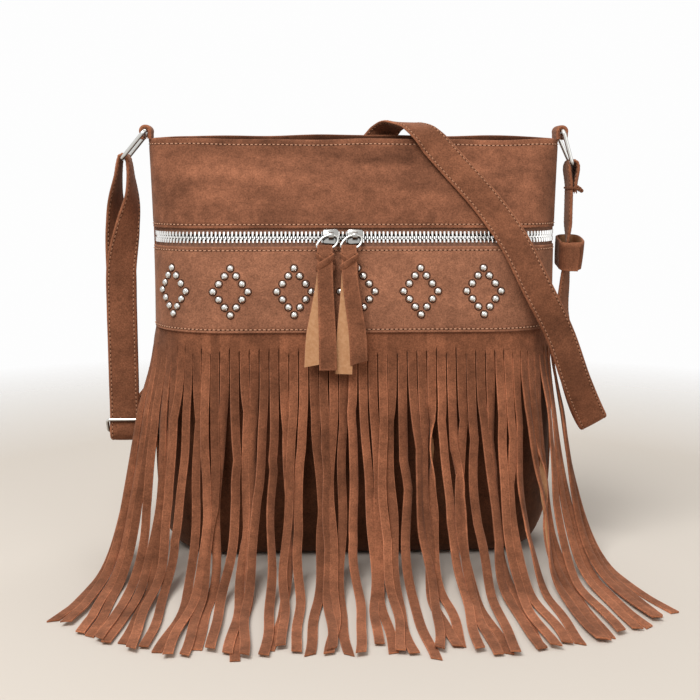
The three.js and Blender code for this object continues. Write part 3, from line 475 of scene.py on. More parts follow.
class Graph:
    """Adds and links nodes in one tree."""

    def __init__(self, tree: bpy.types.NodeTree) -> None:
        """Keeps the tree that the nodes go into."""
        self.tree = tree

    def fill(self, node: bpy.types.Node, inputs: Inputs) -> None:
        """Feeds a node.

        Args:
            node: the node.
            inputs: a value or an output socket for each named or numbered input.
        """
        for key, value in inputs.items():
            if isinstance(value, Socket):
                self.tree.links.new(value, node.inputs[key])
            else:
                node.inputs[key].default_value = value

    def add(self, kind: str, inputs: Inputs | None = None, **settings: object) -> bpy.types.Node:
        """New node.

        Args:
            kind: type of the node.
            inputs: a value or an output socket for each named or numbered input.
            settings: properties of the node.

        Returns:
            The node.
        """
        node = self.tree.nodes.new(kind)
        for key, value in settings.items():
            setattr(node, key, value)
        self.fill(node, inputs or {})
        return node

    def math(self, operation: str, *values: Socket | float) -> Socket:
        """Result of a sum with numbers."""
        return self.add("ShaderNodeMath", dict(enumerate(values)), operation=operation).outputs[0]

    def blend(self, factor: Socket, first: Colour, second: Colour) -> Socket:
        """Mix of two colours."""
        inputs = {0: factor, 6: (*first, 1.0), 7: (*second, 1.0)}
        return self.add("ShaderNodeMix", inputs, data_type="RGBA").outputs[2]

    def tinted(self, colour: Colour, bright: Socket) -> Socket:
        """Colour times a brightness."""
        return self.add("ShaderNodeVectorMath", {0: colour, "Scale": bright}, operation="SCALE").outputs[0]

    def lifted(self, mark: str, reach: float) -> Socket:
        """Brightness 1 where a mark of the piece is 0, and more by reach where it is 1."""
        value = self.add("ShaderNodeAttribute", attribute_name=mark).outputs["Fac"]
        return self.math("MULTIPLY_ADD", value, reach, 1.0)

    def noise(self, place: Socket, scale: float, detail: float) -> Socket:
        """Noise value with features of about one over scale metres."""
        inputs = {"Vector": place, "Scale": scale, "Detail": detail, "Roughness": 0.6}
        return self.add("ShaderNodeTexNoise", inputs).outputs[0]

    def spread(self, value: Socket, low: float, high: float, ends: Pair = (0.0, 1.0)) -> Socket:
        """Value spread so that low and high become the two ends."""
        return self.add("ShaderNodeMapRange", {0: value, 1: low, 2: high, 3: ends[0], 4: ends[1]}).outputs[0]

    def bump(self, height: Socket, strength: float, depth: float, under: Socket | None = None) -> Socket:
        """Normal of a relief of a depth in metres, on top of another where one is given."""
        inputs = {"Strength": strength, "Distance": depth, "Height": height}
        return self.add("ShaderNodeBump", inputs | ({} if under is None else {"Normal": under})).outputs[0]


def fresh_material(name: str) -> tuple[Material, Graph, bpy.types.Node, Socket]:
    """New material with its graph, its shader and its object coordinates.

    Args:
        name: name of the material.

    Returns:
        The four of them.
    """
    material = bpy.data.materials.new(name)
    material.use_nodes = True
    graph = Graph(material.node_tree)
    shader = material.node_tree.nodes["Principled BSDF"]
    return material, graph, shader, graph.add("ShaderNodeTexCoord").outputs["Object"]

@dataclass(frozen=True)
class SuedeFinish:
    """Napped suede with brushed clouds. Paler by the mark edge; random tone and painted light and shade by a
    second mark.
    """

    name: str
    base: Colour
    cloud_scale: float = 34.0
    cloud_stretch: float = 0.5
    nap_scale: float = 170.0
    fibre_scale: float = 950.0
    noise_span: Pair = (0.32, 0.68)
    cloud: Pair = (0.62, 1.2)
    nap: Pair = (0.84, 1.16)
    grain: Pair = (0.72, 1.3)
    edge: float = 1.45
    shade_reach: float = 0.34
    relief: float = 0.5
    nap_depth: float = 0.0008
    fibre_depth: float = 0.0003
    sheen: Colour = (0.95, 0.72, 0.58)

    def build(self) -> Material:
        """The material.

        Returns:
            The material.
        """
        material, graph, shader, place = fresh_material(self.name)
        squeeze = (self.cloud_stretch, 1.0, 1.0)
        wide = graph.add("ShaderNodeVectorMath", {0: place, 1: squeeze}, operation="MULTIPLY").outputs[0]
        clouds = graph.noise(wide, self.cloud_scale, 5.0)
        nap = graph.noise(place, self.nap_scale, 4.0)
        fibre = graph.noise(place, self.fibre_scale, 3.0)
        noises = ((clouds, self.cloud), (nap, self.nap), (fibre, self.grain))
        factors = [graph.spread(noise, *self.noise_span, ends) for noise, ends in noises]
        factors += [graph.lifted("shade", self.shade_reach), graph.lifted("edge", self.edge - 1.0)]
        bright = factors[0]
        for factor in factors[1:]:
            bright = graph.math("MULTIPLY", bright, factor)
        coarse = graph.bump(nap, self.relief, self.nap_depth)
        graph.fill(shader, {
            "Base Color": graph.tinted(self.base, bright),
            "Normal": graph.bump(fibre, self.relief, self.fibre_depth, coarse),
            "Roughness": 0.95,
            "Specular IOR Level": 0.1,
            "Sheen Weight": 0.16,
            "Sheen Roughness": 0.45,
            "Sheen Tint": (*self.sheen, 1.0),
        })
        return material


@dataclass(frozen=True)
class SmoothFinish:
    """Even leather or thread with a light grain."""

    name: str
    base: Colour
    dark: Colour
    grain_scale: float = 2600.0
    roughness: float = 0.7
    relief: float = 0.5

    def build(self) -> Material:
        """The material.

        Returns:
            The material.
        """
        material, graph, shader, place = fresh_material(self.name)
        grain = graph.noise(place, self.grain_scale, 3.0)
        graph.fill(shader, {
            "Base Color": graph.blend(graph.spread(grain, 0.35, 0.65), self.dark, self.base),
            "Normal": graph.bump(grain, self.relief, FINE_RELIEF),
            "Roughness": self.roughness,
            "Specular IOR Level": 0.25,
        })
        return material


@dataclass(frozen=True)
class WeaveFinish:
    """Woven cloth: threads that cross, with the scale of their wave texture."""

    name: str
    base: Colour
    dark: Colour
    scale: float

    def build(self) -> Material:
        """The material.

        Returns:
            The material.
        """
        material, graph, shader, place = fresh_material(self.name)
        inputs = {"Vector": place, "Scale": self.scale, "Distortion": 0.4}
        threads = [graph.add("ShaderNodeTexWave", inputs, bands_direction=axis) for axis in ("X", "Z")]
        weave = graph.math("MAXIMUM", *(wave.outputs["Fac"] for wave in threads))
        graph.fill(shader, {
            "Base Color": graph.blend(weave, self.dark, self.base),
            "Normal": graph.bump(weave, 0.4, FINE_RELIEF),
            "Roughness": 0.85,
        })
        return material


@dataclass(frozen=True)
class MetalFinish:
    """Bright plated metal with faint wear, darker by a mark of painted shade on faces turned from a fixed
    light.
    """

    name: str
    base: Colour
    roughness: float
    shade_reach: float = 0.78
    wear_scale: float = 700.0

    def build(self) -> Material:
        """The material.

        Returns:
            The material.
        """
        material, graph, shader, place = fresh_material(self.name)
        graph.fill(shader, {
            "Base Color": graph.tinted(self.base, graph.lifted("shade", self.shade_reach)),
            "Normal": graph.bump(graph.noise(place, self.wear_scale, 3.0), 0.05, 0.0001),
            "Metallic": 1.0,
            "Roughness": self.roughness,
        })
        return material


class Palette:
    """All finishes of the bag, built once."""

    def __init__(self) -> None:
        """Builds every material."""
        self.suede = SuedeFinish("suede_body", (0.244, 0.095, 0.05), cloud=(0.4, 1.34)).build()
        # Front panel: a darker copy of the suede, painted shade for the panel behind the fringe.
        self.panel = SuedeFinish("suede_panel_painted_shade", (0.1, 0.036, 0.017)).build()
        self.band = SuedeFinish("suede_band", (0.288, 0.121, 0.067), cloud=(0.74, 1.14)).build()
        # Fringe: a darker copy of the suede, partly its darker nap and partly painted shade between the
        # strips.
        self.fringe = SuedeFinish("suede_fringe", (0.23, 0.085, 0.042), cloud_stretch=1.0, edge=1.8).build()
        self.strap = SuedeFinish("suede_strap", (0.212, 0.081, 0.041), cloud=(0.7, 1.18)).build()
        tan, deep_tan = (0.53, 0.28, 0.14), (0.45, 0.22, 0.1)
        self.underside = SmoothFinish("leather_back", tan, deep_tan, 420.0, 0.72, 0.2).build()
        self.thread = SmoothFinish("thread", (0.6, 0.33, 0.21), (0.47, 0.24, 0.14)).build()
        self.strap_thread = SmoothFinish("strap_thread", (0.46, 0.23, 0.13), (0.34, 0.16, 0.09)).build()
        # Needle holes and stud seats: near-black marks that paint the shade in holes and grooves.
        brown, deep_brown = (0.05, 0.018, 0.009), (0.03, 0.01, 0.005)
        self.hole = SmoothFinish("needle_hole_painted_shade", brown, deep_brown, roughness=0.9, relief=0.3).build()
        self.lining = WeaveFinish("lining_cloth", (0.26, 0.19, 0.13), (0.18, 0.125, 0.085), 75.0).build()
        self.tape = WeaveFinish("zip_tape", (0.19, 0.082, 0.045), (0.12, 0.05, 0.026), 70.0).build()
        self.nickel = MetalFinish("nickel", (0.6, 0.59, 0.56), 0.16).build()
        # Sliders and their bevels: darker copies of the nickel that paint dark reflections.
        self.slider = MetalFinish("nickel_slider_painted_dark", (0.4, 0.39, 0.37), 0.2).build()
        self.slider_edge = MetalFinish("nickel_edge_painted_shade", (0.15, 0.145, 0.135), 0.3).build()
        self.teeth = MetalFinish("nickel_teeth", (0.84, 0.83, 0.81), 0.24).build()

    def sheet(self, face: Material) -> list[Material]:
        """Materials of a suede sheet: face, back and edge."""
        return [face, self.underside, face]


class RowShape(Enum):
    """Small shape that is repeated along rows, with its segments and rings."""

    STITCH = (6, 5)
    TOOTH = (8, 2)
    STUD = (14, 10)


@dataclass
class RowPattern:
    """Repeats a small shape along lines of points with a direction out, by a tree of geometry nodes.

    Stitches and teeth are spaced by the pitch along each line. Studs stand on the points themselves.
    """

    shape: RowShape
    size: Triple
    pitch: float
    material: Material
    lines: list[Route]

    def _source(self, name: str) -> Piece:
        """Object that holds the lines as edges, with the mark out at each point.

        Args:
            name: name of the object.

        Returns:
            The object.
        """
        at = np.vstack([line.at for line in self.lines])
        out = np.vstack([line.out for line in self.lines])
        edges = []
        start = 0
        for line in self.lines:
            edges += [(start + i, start + i + 1) for i in range(len(line.at) - 1)]
            start += len(line.at)
        mesh = bpy.data.meshes.new(name)
        mesh.from_pydata((at * METRES).tolist(), [] if self.shape is RowShape.STUD else edges, [])
        attribute = mesh.attributes.new("out", "FLOAT_VECTOR", "POINT")
        attribute.data.foreach_set("vector", out.astype(np.float32).ravel())
        return linked(name, mesh)

    def _unit_shape(self, graph: Graph, size: Socket) -> Socket:
        """Shape of half size one, scaled by the size input.

        Args:
            graph: graph of the tree.
            size: socket with the half sizes along, across and out.

        Returns:
            Socket of the shape's geometry.
        """
        segments, rings = self.shape.value
        if self.shape is RowShape.TOOTH:
            block = graph.add("GeometryNodeMeshCylinder", {"Vertices": segments, "Radius": 1.0, "Depth": 2.0})
            turned = {"Geometry": block.outputs["Mesh"], "Rotation": (math.pi / 2.0, 0.0, 0.0)}
            mesh = graph.add("GeometryNodeTransform", turned).outputs[0]
        else:
            ball = {"Segments": segments, "Rings": rings, "Radius": 1.0}
            mesh = graph.add("GeometryNodeMeshUVSphere", ball).outputs["Mesh"]
        scaled = graph.add("GeometryNodeTransform", {"Geometry": mesh, "Scale": size}).outputs[0]
        smooth = {"Geometry": scaled, "Shade Smooth": self.shape is not RowShape.TOOTH}
        return graph.add("GeometryNodeSetShadeSmooth", smooth).outputs[0]

    def _tree(self, name: str) -> bpy.types.NodeTree:
        """Tree with the named inputs Size, Pitch and Material.

        Args:
            name: name of the tree.

        Returns:
            The tree.
        """
        tree = bpy.data.node_groups.new(name, "GeometryNodeTree")
        kinds = {"Geometry": "Geometry", "Size": "Vector", "Pitch": "Float", "Material": "Material"}
        for label, kind in kinds.items():
            tree.interface.new_socket(label, in_out="INPUT", socket_type="NodeSocket" + kind)
        tree.interface.new_socket("Geometry", in_out="OUTPUT", socket_type="NodeSocketGeometry")
        graph = Graph(tree)
        given = graph.add("NodeGroupInput").outputs
        points = given["Geometry"]
        out = graph.add("GeometryNodeInputNamedAttribute", {"Name": "out"}, data_type="FLOAT_VECTOR")
        turn = {"Vector": out.outputs[0]}
        if self.shape is not RowShape.STUD:
            curve = graph.add("GeometryNodeMeshToCurve", {"Mesh": points}).outputs[0]
            spaced = {"Curve": curve, "Length": given["Pitch"]}
            points = graph.add("GeometryNodeResampleCurve", spaced, mode="LENGTH").outputs[0]
            tangent = graph.add("GeometryNodeInputTangent").outputs[0]
            ahead = graph.add("FunctionNodeAlignRotationToVector", {"Vector": tangent}, axis="X")
            turn["Rotation"] = ahead.outputs[0]
        pivot = "AUTO" if self.shape is RowShape.STUD else "X"
        rotation = graph.add("FunctionNodeAlignRotationToVector", turn, axis="Z", pivot_axis=pivot).outputs[0]
        instance = self._unit_shape(graph, given["Size"])
        placed = {"Points": points, "Instance": instance, "Rotation": rotation}
        instances = graph.add("GeometryNodeInstanceOnPoints", placed).outputs[0]
        real = graph.add("GeometryNodeRealizeInstances", {"Geometry": instances}).outputs[0]
        dressed = {"Geometry": real, "Material": given["Material"]}
        graph.add("NodeGroupOutput", {"Geometry": graph.add("GeometryNodeSetMaterial", dressed).outputs[0]})
        return tree

    def build(self, name: str) -> Piece:
        """Plain mesh object with all repeats.

        Args:
            name: name of the object.

        Returns:
            The object, without a modifier.
        """
        piece = self._source(name)
        modifier = piece.modifiers.new("rows", "NODES")
        modifier.node_group = self._tree(name + "_rows")
        values = {
            "Size": [half * METRES for half in self.size],
            "Pitch": self.pitch * METRES,
            "Material": self.material,
        }
        for item in modifier.node_group.interface.items_tree:
            if item.in_out == "INPUT" and item.name in values:
                modifier[item.identifier] = values[item.name]
        piece.update_tag()
        shown = piece.evaluated_get(bpy.context.evaluated_depsgraph_get())
        mesh = bpy.data.meshes.new_from_object(shown)
        piece.modifiers.clear()
        piece.data = mesh
        return piece


@dataclass(frozen=True)
class StitchRow:
    """Thread stitches along lines, with a dark mark between each two that paints the shade of a needle hole.
    """

    thread: Material
    hole: Material
    pitch: float = 3.2
    stitch: Triple = (1.22, 0.5, 0.46)
    needle: Triple = (0.5, 0.46, 0.3)

    def build(self, name: str, lines: list[Route]) -> list[Piece]:
        """Stitches and the painted shade of their holes as one piece each.

        Args:
            name: name of the stitches.
            lines: lines on the face of the suede.

        Returns:
            Both pieces.
        """
        between = [line.trimmed(self.pitch / 2.0) for line in lines]
        pieces = [
            RowPattern(RowShape.STITCH, self.stitch, self.pitch, self.thread, lines).build(name),
            RowPattern(RowShape.STITCH, self.needle, self.pitch, self.hole, between).build(name + "_holes"),
        ]
        return pieces


@dataclass(frozen=True)
class BagShape:
    """Walls of the filled bag, with the soft waves that all their layers share."""

    height: float = 304.0
    rim_half_width: float = 151.0
    belly_half_width: float = 151.0
    waist: float = 2.5
    base_half_width: float = 131.0
    mouth_half_depth: float = 13.0
    front_bulge: float = 60.0
    back_bulge: float = 54.0
    base_half_depth: float = 36.0
    belly_height: float = 100.0
    belly_power: float = 2.2
    base_rounding: float = 4.0
    back_rim_rise: float = 3.0
    facing_depth: float = 27.0
    window_top: float = 239.95
    window_bottom: float = 227.25
    band_bottom: float = 167.0
    slit_top: float = 152.0
    header_top: float = 177.0
    suede: float = 1.2
    rim_stitch: float = 300.0
    yoke_stitch: float = 242.7
    band_stitches: Pair = (224.6, 169.4)
    ripple_ends: Pair = (105.0, 150.0)
    yoke_slack: Pair = (246.0, 272.0)
    back_slack: Pair = (20.0, 90.0)
    hollow_height: float = 287.0
    rim_wave_from: float = 268.0
    rim_wave_ends: Pair = (118.0, 140.0)

    def section(self, side: Side, z: Array | float) -> tuple[Array, Array]:
        """Half width of the bag and depth of one wall at a height.

        Args:
            side: front or back.
            z: height.

        Returns:
            Half width and depth.
        """
        z = np.asarray(z, float)
        belly = self.front_bulge if side is Side.FRONT else self.back_bulge
        rise = np.clip((z - self.belly_height) / (self.height - self.belly_height), 0.0, None)
        drop = np.clip((self.belly_height - z) / self.belly_height, 0.0, 1.0)
        swell = np.sqrt(1.0 - drop**self.base_rounding)
        upper = self.belly_half_width + (self.rim_half_width - self.belly_half_width) * rise
        upper = upper - self.waist * np.sin(math.pi * rise)
        lower = self.base_half_width + (self.belly_half_width - self.base_half_width) * swell
        deep = self.mouth_half_depth + (belly - self.mouth_half_depth) * (1.0 - rise**self.belly_power)
        shallow = self.base_half_depth + (belly - self.base_half_depth) * swell
        above = z >= self.belly_height
        return np.where(above, upper, lower), np.where(above, deep, shallow)

    def half_run(self, side: Side, z: Array | float) -> Array:
        """Length of one wall from its middle to the side seam."""
        half, depth = self.section(side, z)
        return half - depth + depth * math.pi / 2.0

    def ripple(self, side: Side, run: Array, z: Array) -> Array:
        """Soft swelling of a wall, outwards, with a hollow under the rim.

        Args:
            side: front or back.
            run: way along the wall from its middle.
            z: height.

        Returns:
            Distance outwards.
        """
        calm = 1.0 - smoothstep(np.abs(run), *self.ripple_ends)
        if side is Side.FRONT:
            slack = 0.22 + 0.9 * smoothstep(z, *self.yoke_slack)
        else:
            slack = 1.1 * smoothstep(z, *self.back_slack)
        broad = np.sin(0.024 * run + 0.05 * z + 0.6) + 0.6 * np.sin(0.051 * run - 0.034 * z + 2.1)
        hollow = 1.5 * np.exp(-(((z - self.hollow_height + 3.0 * np.sin(0.03 * run)) / 8.0) ** 2))
        return slack * calm * (0.8 * broad + 0.3 * np.sin(0.11 * run + 0.07 * z) - hollow)

    def rim_wave(self, side: Side, run: Array, z: Array) -> Array:
        """Slight waves of the rim, upwards.

        Args:
            side: front or back.
            run: way along the wall from its middle.
            z: height.

        Returns:
            Distance upwards.
        """
        near = smoothstep(z, self.rim_wave_from, self.height)
        phase, drop = (0.4, 0.5) if side is Side.FRONT else (2.0, 0.0)
        calm = 1.0 - smoothstep(np.abs(run), *self.rim_wave_ends)
        waves = 0.45 * np.sin(0.043 * run + phase) + 0.25 * np.sin(0.097 * run + 2.2 * phase)
        return near * calm * (waves - drop)

    def wall(self, side: Side, z: Array | float, share: Array | float, inset: Array | float = 0.0) -> Array:
        """Points of a wall.

        Args:
            side: front or back.
            z: height.
            share: place along the wall, from -1 at the left seam to 1 at the right.
            inset: depth under the wall's face.

        Returns:
            Points, of the common shape of the three.
        """
        z, share, inset = np.broadcast_arrays(*(np.asarray(v, float) for v in (z, share, inset)))
        half, depth = self.section(side, z)
        run = share * self.half_run(side, z)
        straight = half - depth
        turn = np.maximum(np.abs(run) - straight, 0.0) / depth
        reach = depth - inset + self.ripple(side, run, z)
        x = np.sign(run) * (np.minimum(np.abs(run), straight) + reach * np.sin(turn))
        y = side.value * (reach * np.cos(turn) + LAYER_GAP / 2.0)
        near = np.maximum(z - (self.height - self.facing_depth), 0.0) / self.facing_depth
        rise = self.back_rim_rise * near * (1.0 - share**6) if side is Side.BACK else 0.0
        return np.stack([x, y, z + rise + self.rim_wave(side, run, z)], axis=-1)

    def line(self, side: Side, z: float, reach: float, inset: float, count: int = 220) -> Route:
        """Level line on a wall with its outward directions.

        Args:
            side: front or back.
            z: height of the line.
            reach: share of the wall that it covers to each side.
            inset: depth under the wall's face.
            count: number of points.

        Returns:
            The line.
        """
        share = np.linspace(-reach, reach, count)
        at = self.wall(side, z, share, inset)
        along = np.gradient(at, axis=0)
        up = self.wall(side, z + 0.5, share, inset) - at
        return Route(at, unit(-side.value * np.cross(along, up)))


@dataclass
class BodyShell:
    """Walls, base, facing, lining and pocket of the bag."""

    shape: BagShape
    palette: Palette
    columns: int = 170
    row_step: float = 4.0
    fold_radius: float = 0.9
    fold_shares: Vector = (0.0, 0.12, 0.35, 0.65, 1.0)
    fold_dip: float = 0.7
    stitch_groove: float = 0.4
    groove_width: float = 1.1
    groove_rows: Vector = (-3.0, -1.8, -1.0, -0.5, 0.0, 0.5, 1.0, 1.8, 3.0)
    panel_inset: float = 2.8
    base_insets: Pair = (4.3, 1.5)
    base_thickness: float = 1.6
    cloth: float = 0.8
    lining_rows: Vector = (
        5.0, 14.0, 32.0, 62.0, 100.0, 125.0, 152.0, 180.0, 200.0, 217.0, 232.0, 250.0, 265.0, 277.0
    )
    lining_insets: Pair = (9.6, 2.5)
    lining_step: float = 250.0
    pocket_heights: Triple = (217.25, 134.0, 249.95)
    pocket_inset: float = 6.3
    pocket_fold: float = 2.0
    pocket_cloth: float = 0.6
    pocket_reach: float = 0.88

    def _rows(self, bottom: float, top: float, grooves: Vector) -> tuple[Array, Array]:
        """Heights of the rows of a layer and the dip of its face at each.

        Args:
            bottom: lower edge.
            top: upper edge.
            grooves: heights of the stitch rows that pull the face in.

        Returns:
            Heights and dips.
        """
        heights = set(np.linspace(bottom, top, max(int((top - bottom) / self.row_step), 2)).tolist())
        for share in self.fold_shares:
            heights |= {bottom + share * self.fold_radius, top - share * self.fold_radius}
        for groove in grooves:
            heights |= {groove + d for d in self.groove_rows}
        z = np.array(sorted(h for h in heights if bottom <= h <= top))
        z = z[np.concatenate([[True], np.diff(z) > 1e-4])]
        near = np.clip(np.minimum(z - bottom, top - z) / self.fold_radius, 0.0, 1.0)
        dip = self.fold_dip * self.fold_radius * (1.0 - np.sqrt(1.0 - (1.0 - near) ** 2))
        for groove in grooves:
            dip = dip + self.stitch_groove * np.exp(-(((z - groove) / self.groove_width) ** 2))
        return z, dip

    def layer(
        self, side: Side, bottom: float, top: float, inset: float, thickness: float, grooves: Vector = ()
    ) -> MeshData:
        """One layer of a wall between two heights.

        Args:
            side: front or back.
            bottom: lower edge.
            top: upper edge.
            inset: depth of the layer's face under the wall's face.
            thickness: thickness of the layer.
            grooves: heights of its stitch rows.

        Returns:
            The layer.
        """
        z, dip = self._rows(bottom, top, grooves)
        share = np.linspace(-1.0, 1.0, self.columns + 1)[None, :]
        outer = self.shape.wall(side, z[:, None], share, inset + dip[:, None])
        return MeshData.sheet(outer, self.shape.wall(side, z[:, None], share, inset + thickness))

    def _loop(self, z: Array, insets: tuple[Array, Array]) -> Array:
        """Rows of points all round the bag at the given heights and at the insets of front and back.

        Args:
            z: heights of the rows.
            insets: insets of front and back at each height.

        Returns:
            Rows of points.
        """
        share = np.linspace(-1.0, 1.0, self.columns // 2 + 1)[None, :]
        front = self.shape.wall(Side.FRONT, z[:, None], share, insets[0][:, None])
        back = self.shape.wall(Side.BACK, z[:, None], share, insets[1][:, None])
        return np.concatenate([front, back[:, ::-1]], axis=1)

    def _finish(self, piece: Piece, node: str, slot: Slot) -> Piece:
        enter(piece, "bag", slot, node)
        return piece

    def build(self) -> list[Piece]:
        """All pieces of the shell."""
        return [*self._walls(), self._facing(), self._base(), self._lining(), self._pocket()]

    def _walls(self) -> list[Piece]:
        """Yoke, front panel and back panel.

        Returns:
            The three pieces.
        """
        s = self.shape
        front, back = Side.FRONT, Side.BACK
        yoke = self.layer(front, s.window_top, s.height, 0.0, s.suede, (s.yoke_stitch, s.rim_stitch))
        panel = self.layer(front, 0.0, s.header_top, self.panel_inset, s.suede)
        wall = self.layer(back, 0.0, s.height, 0.0, s.suede, (s.rim_stitch,))
        suede = self.palette.sheet(self.palette.suede)
        pieces = []
        for node, data, materials, flat in (
            ("front_yoke", yoke, suede, (0.326, 0.066)),
            # the front panel takes the darker suede that paints shade behind the fringe
            ("front_panel", panel, [self.palette.panel, *suede[1:]], (0.366, 0.2)),
            ("back_panel", wall, suede, (0.345, 0.33)),
        ):
            piece = data.build(node + "_suede", materials)
            pieces.append(self._finish(piece, node, Slot.SUEDE))
        return pieces

    def _facing(self) -> Piece:
        """Suede strip round the inside of the mouth.

        Returns:
            The piece.
        """
        s = self.shape
        z, dip = self._rows(s.height - s.facing_depth + LAYER_GAP, s.height, (s.rim_stitch,))
        outer = np.full_like(z, s.suede + LAYER_GAP)
        inner = outer + s.suede - dip
        data = MeshData.sheet(self._loop(z, (inner, inner)), self._loop(z, (outer, outer)), wrap=True)
        piece = data.build("rim_facing_suede", self.palette.sheet(self.palette.suede))
        return self._finish(piece, "rim_facing", Slot.SUEDE)

    def _base(self) -> Piece:
        """Base sheet inside the lower edges of the walls.

        Returns:
            The piece.
        """
        share = np.linspace(-1.0, 1.0, self.columns // 2 + 1)
        sides = zip(Side, self.base_insets)
        front, back = (self.shape.wall(side, 0.0, share, inset) for side, inset in sides)
        depth = np.linspace(0.0, 1.0, 13)[:, None, None]
        grid = front[None] * (1.0 - depth) + back[None] * depth
        upper, lower = grid.copy(), grid.copy()
        upper[..., 2], lower[..., 2] = self.base_thickness, 0.0
        data = MeshData.sheet(lower, upper)
        piece = data.build("base_panel_suede", self.palette.sheet(self.palette.suede))
        return self._finish(piece, "base_panel", Slot.SUEDE)

    def _lining(self) -> Piece:
        """Cloth bag inside the walls, up to the facing, with room for the pocket in front.

        Returns:
            The piece.
        """
        z = np.array(self.lining_rows)
        wide, close = self.lining_insets
        front = np.where(z > self.lining_step, close, wide)
        back = np.full_like(z, close)
        outer = self._loop(z, (front, back))
        inner = self._loop(z, (front + self.cloth, back + self.cloth))
        data = MeshData.sheet(outer, inner, wrap=True)
        floor = np.linspace(0.0, 1.0, 9)[:, None, None]
        half = outer.shape[1] // 2
        grid = outer[0, :half][None] * (1.0 - floor) + outer[0, half:][::-1][None] * floor
        under = grid.copy()
        under[..., 2] -= self.cloth
        piece = data.joined(MeshData.sheet(under, grid)).build("lining_cloth", [self.palette.lining])
        return self._finish(piece, "lining", Slot.LINING)

    def _pocket(self) -> Piece:
        """Cloth pocket behind the zip, folded at its bottom.

        Returns:
            The piece.
        """
        low, bottom, high = self.pocket_heights
        middle, radius = self.pocket_inset, self.pocket_fold
        path = [(z, middle - radius) for z in np.linspace(low, bottom, 20)]
        for angle in np.linspace(0.0, math.pi, 9)[1:-1]:
            path.append((bottom - radius * math.sin(angle), middle - radius * math.cos(angle)))
        path = np.array([*path, *((z, middle + radius) for z in np.linspace(bottom, high, 26))])
        ahead = unit(np.gradient(path, axis=0))
        side = np.stack([-ahead[:, 1], ahead[:, 0]], axis=1)
        share = np.linspace(-self.pocket_reach, self.pocket_reach, 60)[None, :]
        faces = []
        for offset in (-self.pocket_cloth / 2.0, self.pocket_cloth / 2.0):
            z, inset = (path + offset * side).T
            faces.append(self.shape.wall(Side.FRONT, z[:, None], share, inset[:, None]))
        piece = MeshData.sheet(*faces).build("pocket_cloth", [self.palette.lining])
        return self._finish(piece, "pocket_bag", Slot.LINING)


@dataclass
class StudBand:
    """Suede band under the zip with its diamonds of dome studs."""

    shell: BodyShell
    palette: Palette
    diamonds: int = 7
    pitch: float = 45.0
    middle: float = 196.0
    half_width: float = 12.3
    half_height: float = 16.3
    studs_per_side: int = 3
    stud_radius: float = 2.55
    stud_rise: float = 2.3
    # dark seat under each stud, wider than it: painted shade of the groove round the stud
    seat_shade_radius: float = 3.05
    seat_shade_rise: float = 0.4

    def _stud_points(self) -> Route:
        """Places and directions of all studs.

        Returns:
            Points on the band, facing outwards.
        """
        shape = self.shell.shape
        corners = np.array([(0, 1), (1, 0), (0, -1), (-1, 0), (0, 1)], float)
        t = (np.arange(self.studs_per_side) / self.studs_per_side)[:, None]
        ring = np.concatenate([a + (b - a) * t for a, b in zip(corners, corners[1:])])
        centres = (np.arange(self.diamonds) - (self.diamonds - 1) / 2.0) * self.pitch
        run = (centres[:, None] + self.half_width * ring[:, 0]).ravel()
        z = np.tile(self.middle + self.half_height * ring[:, 1], self.diamonds)
        share = run / shape.half_run(Side.FRONT, z)
        at = shape.wall(Side.FRONT, z, share)
        along = shape.wall(Side.FRONT, z, share + 0.003) - at
        up = shape.wall(Side.FRONT, z + 0.5, share) - at
        return Route(at, unit(np.cross(along, up)))

    def build(self) -> list[Piece]:
        """The band, its studs and the dark seats that paint the shade round them.

        Returns:
            The three pieces.
        """
        s = self.shell.shape
        data = self.shell.layer(Side.FRONT, s.band_bottom, s.window_bottom, 0.0, s.suede, s.band_stitches)
        band = data.build("stud_band_suede", self.palette.sheet(self.palette.band))
        places = [self._stud_points()]
        size = (self.stud_radius, self.stud_radius, self.stud_rise)
        studs = RowPattern(RowShape.STUD, size, 1.0, self.palette.nickel, places).build("band_studs")
        size = (self.seat_shade_radius, self.seat_shade_radius, self.seat_shade_rise)
        seat_shades = RowPattern(RowShape.STUD, size, 1.0, self.palette.hole, places).build("band_stud_seat_shade")
        enter(band, "bag", Slot.SUEDE, "stud_band")
        enter(studs, "bag", Slot.NICKEL)
        enter(seat_shades, "bag", Slot.SUEDE)
        return [band, studs, seat_shades]


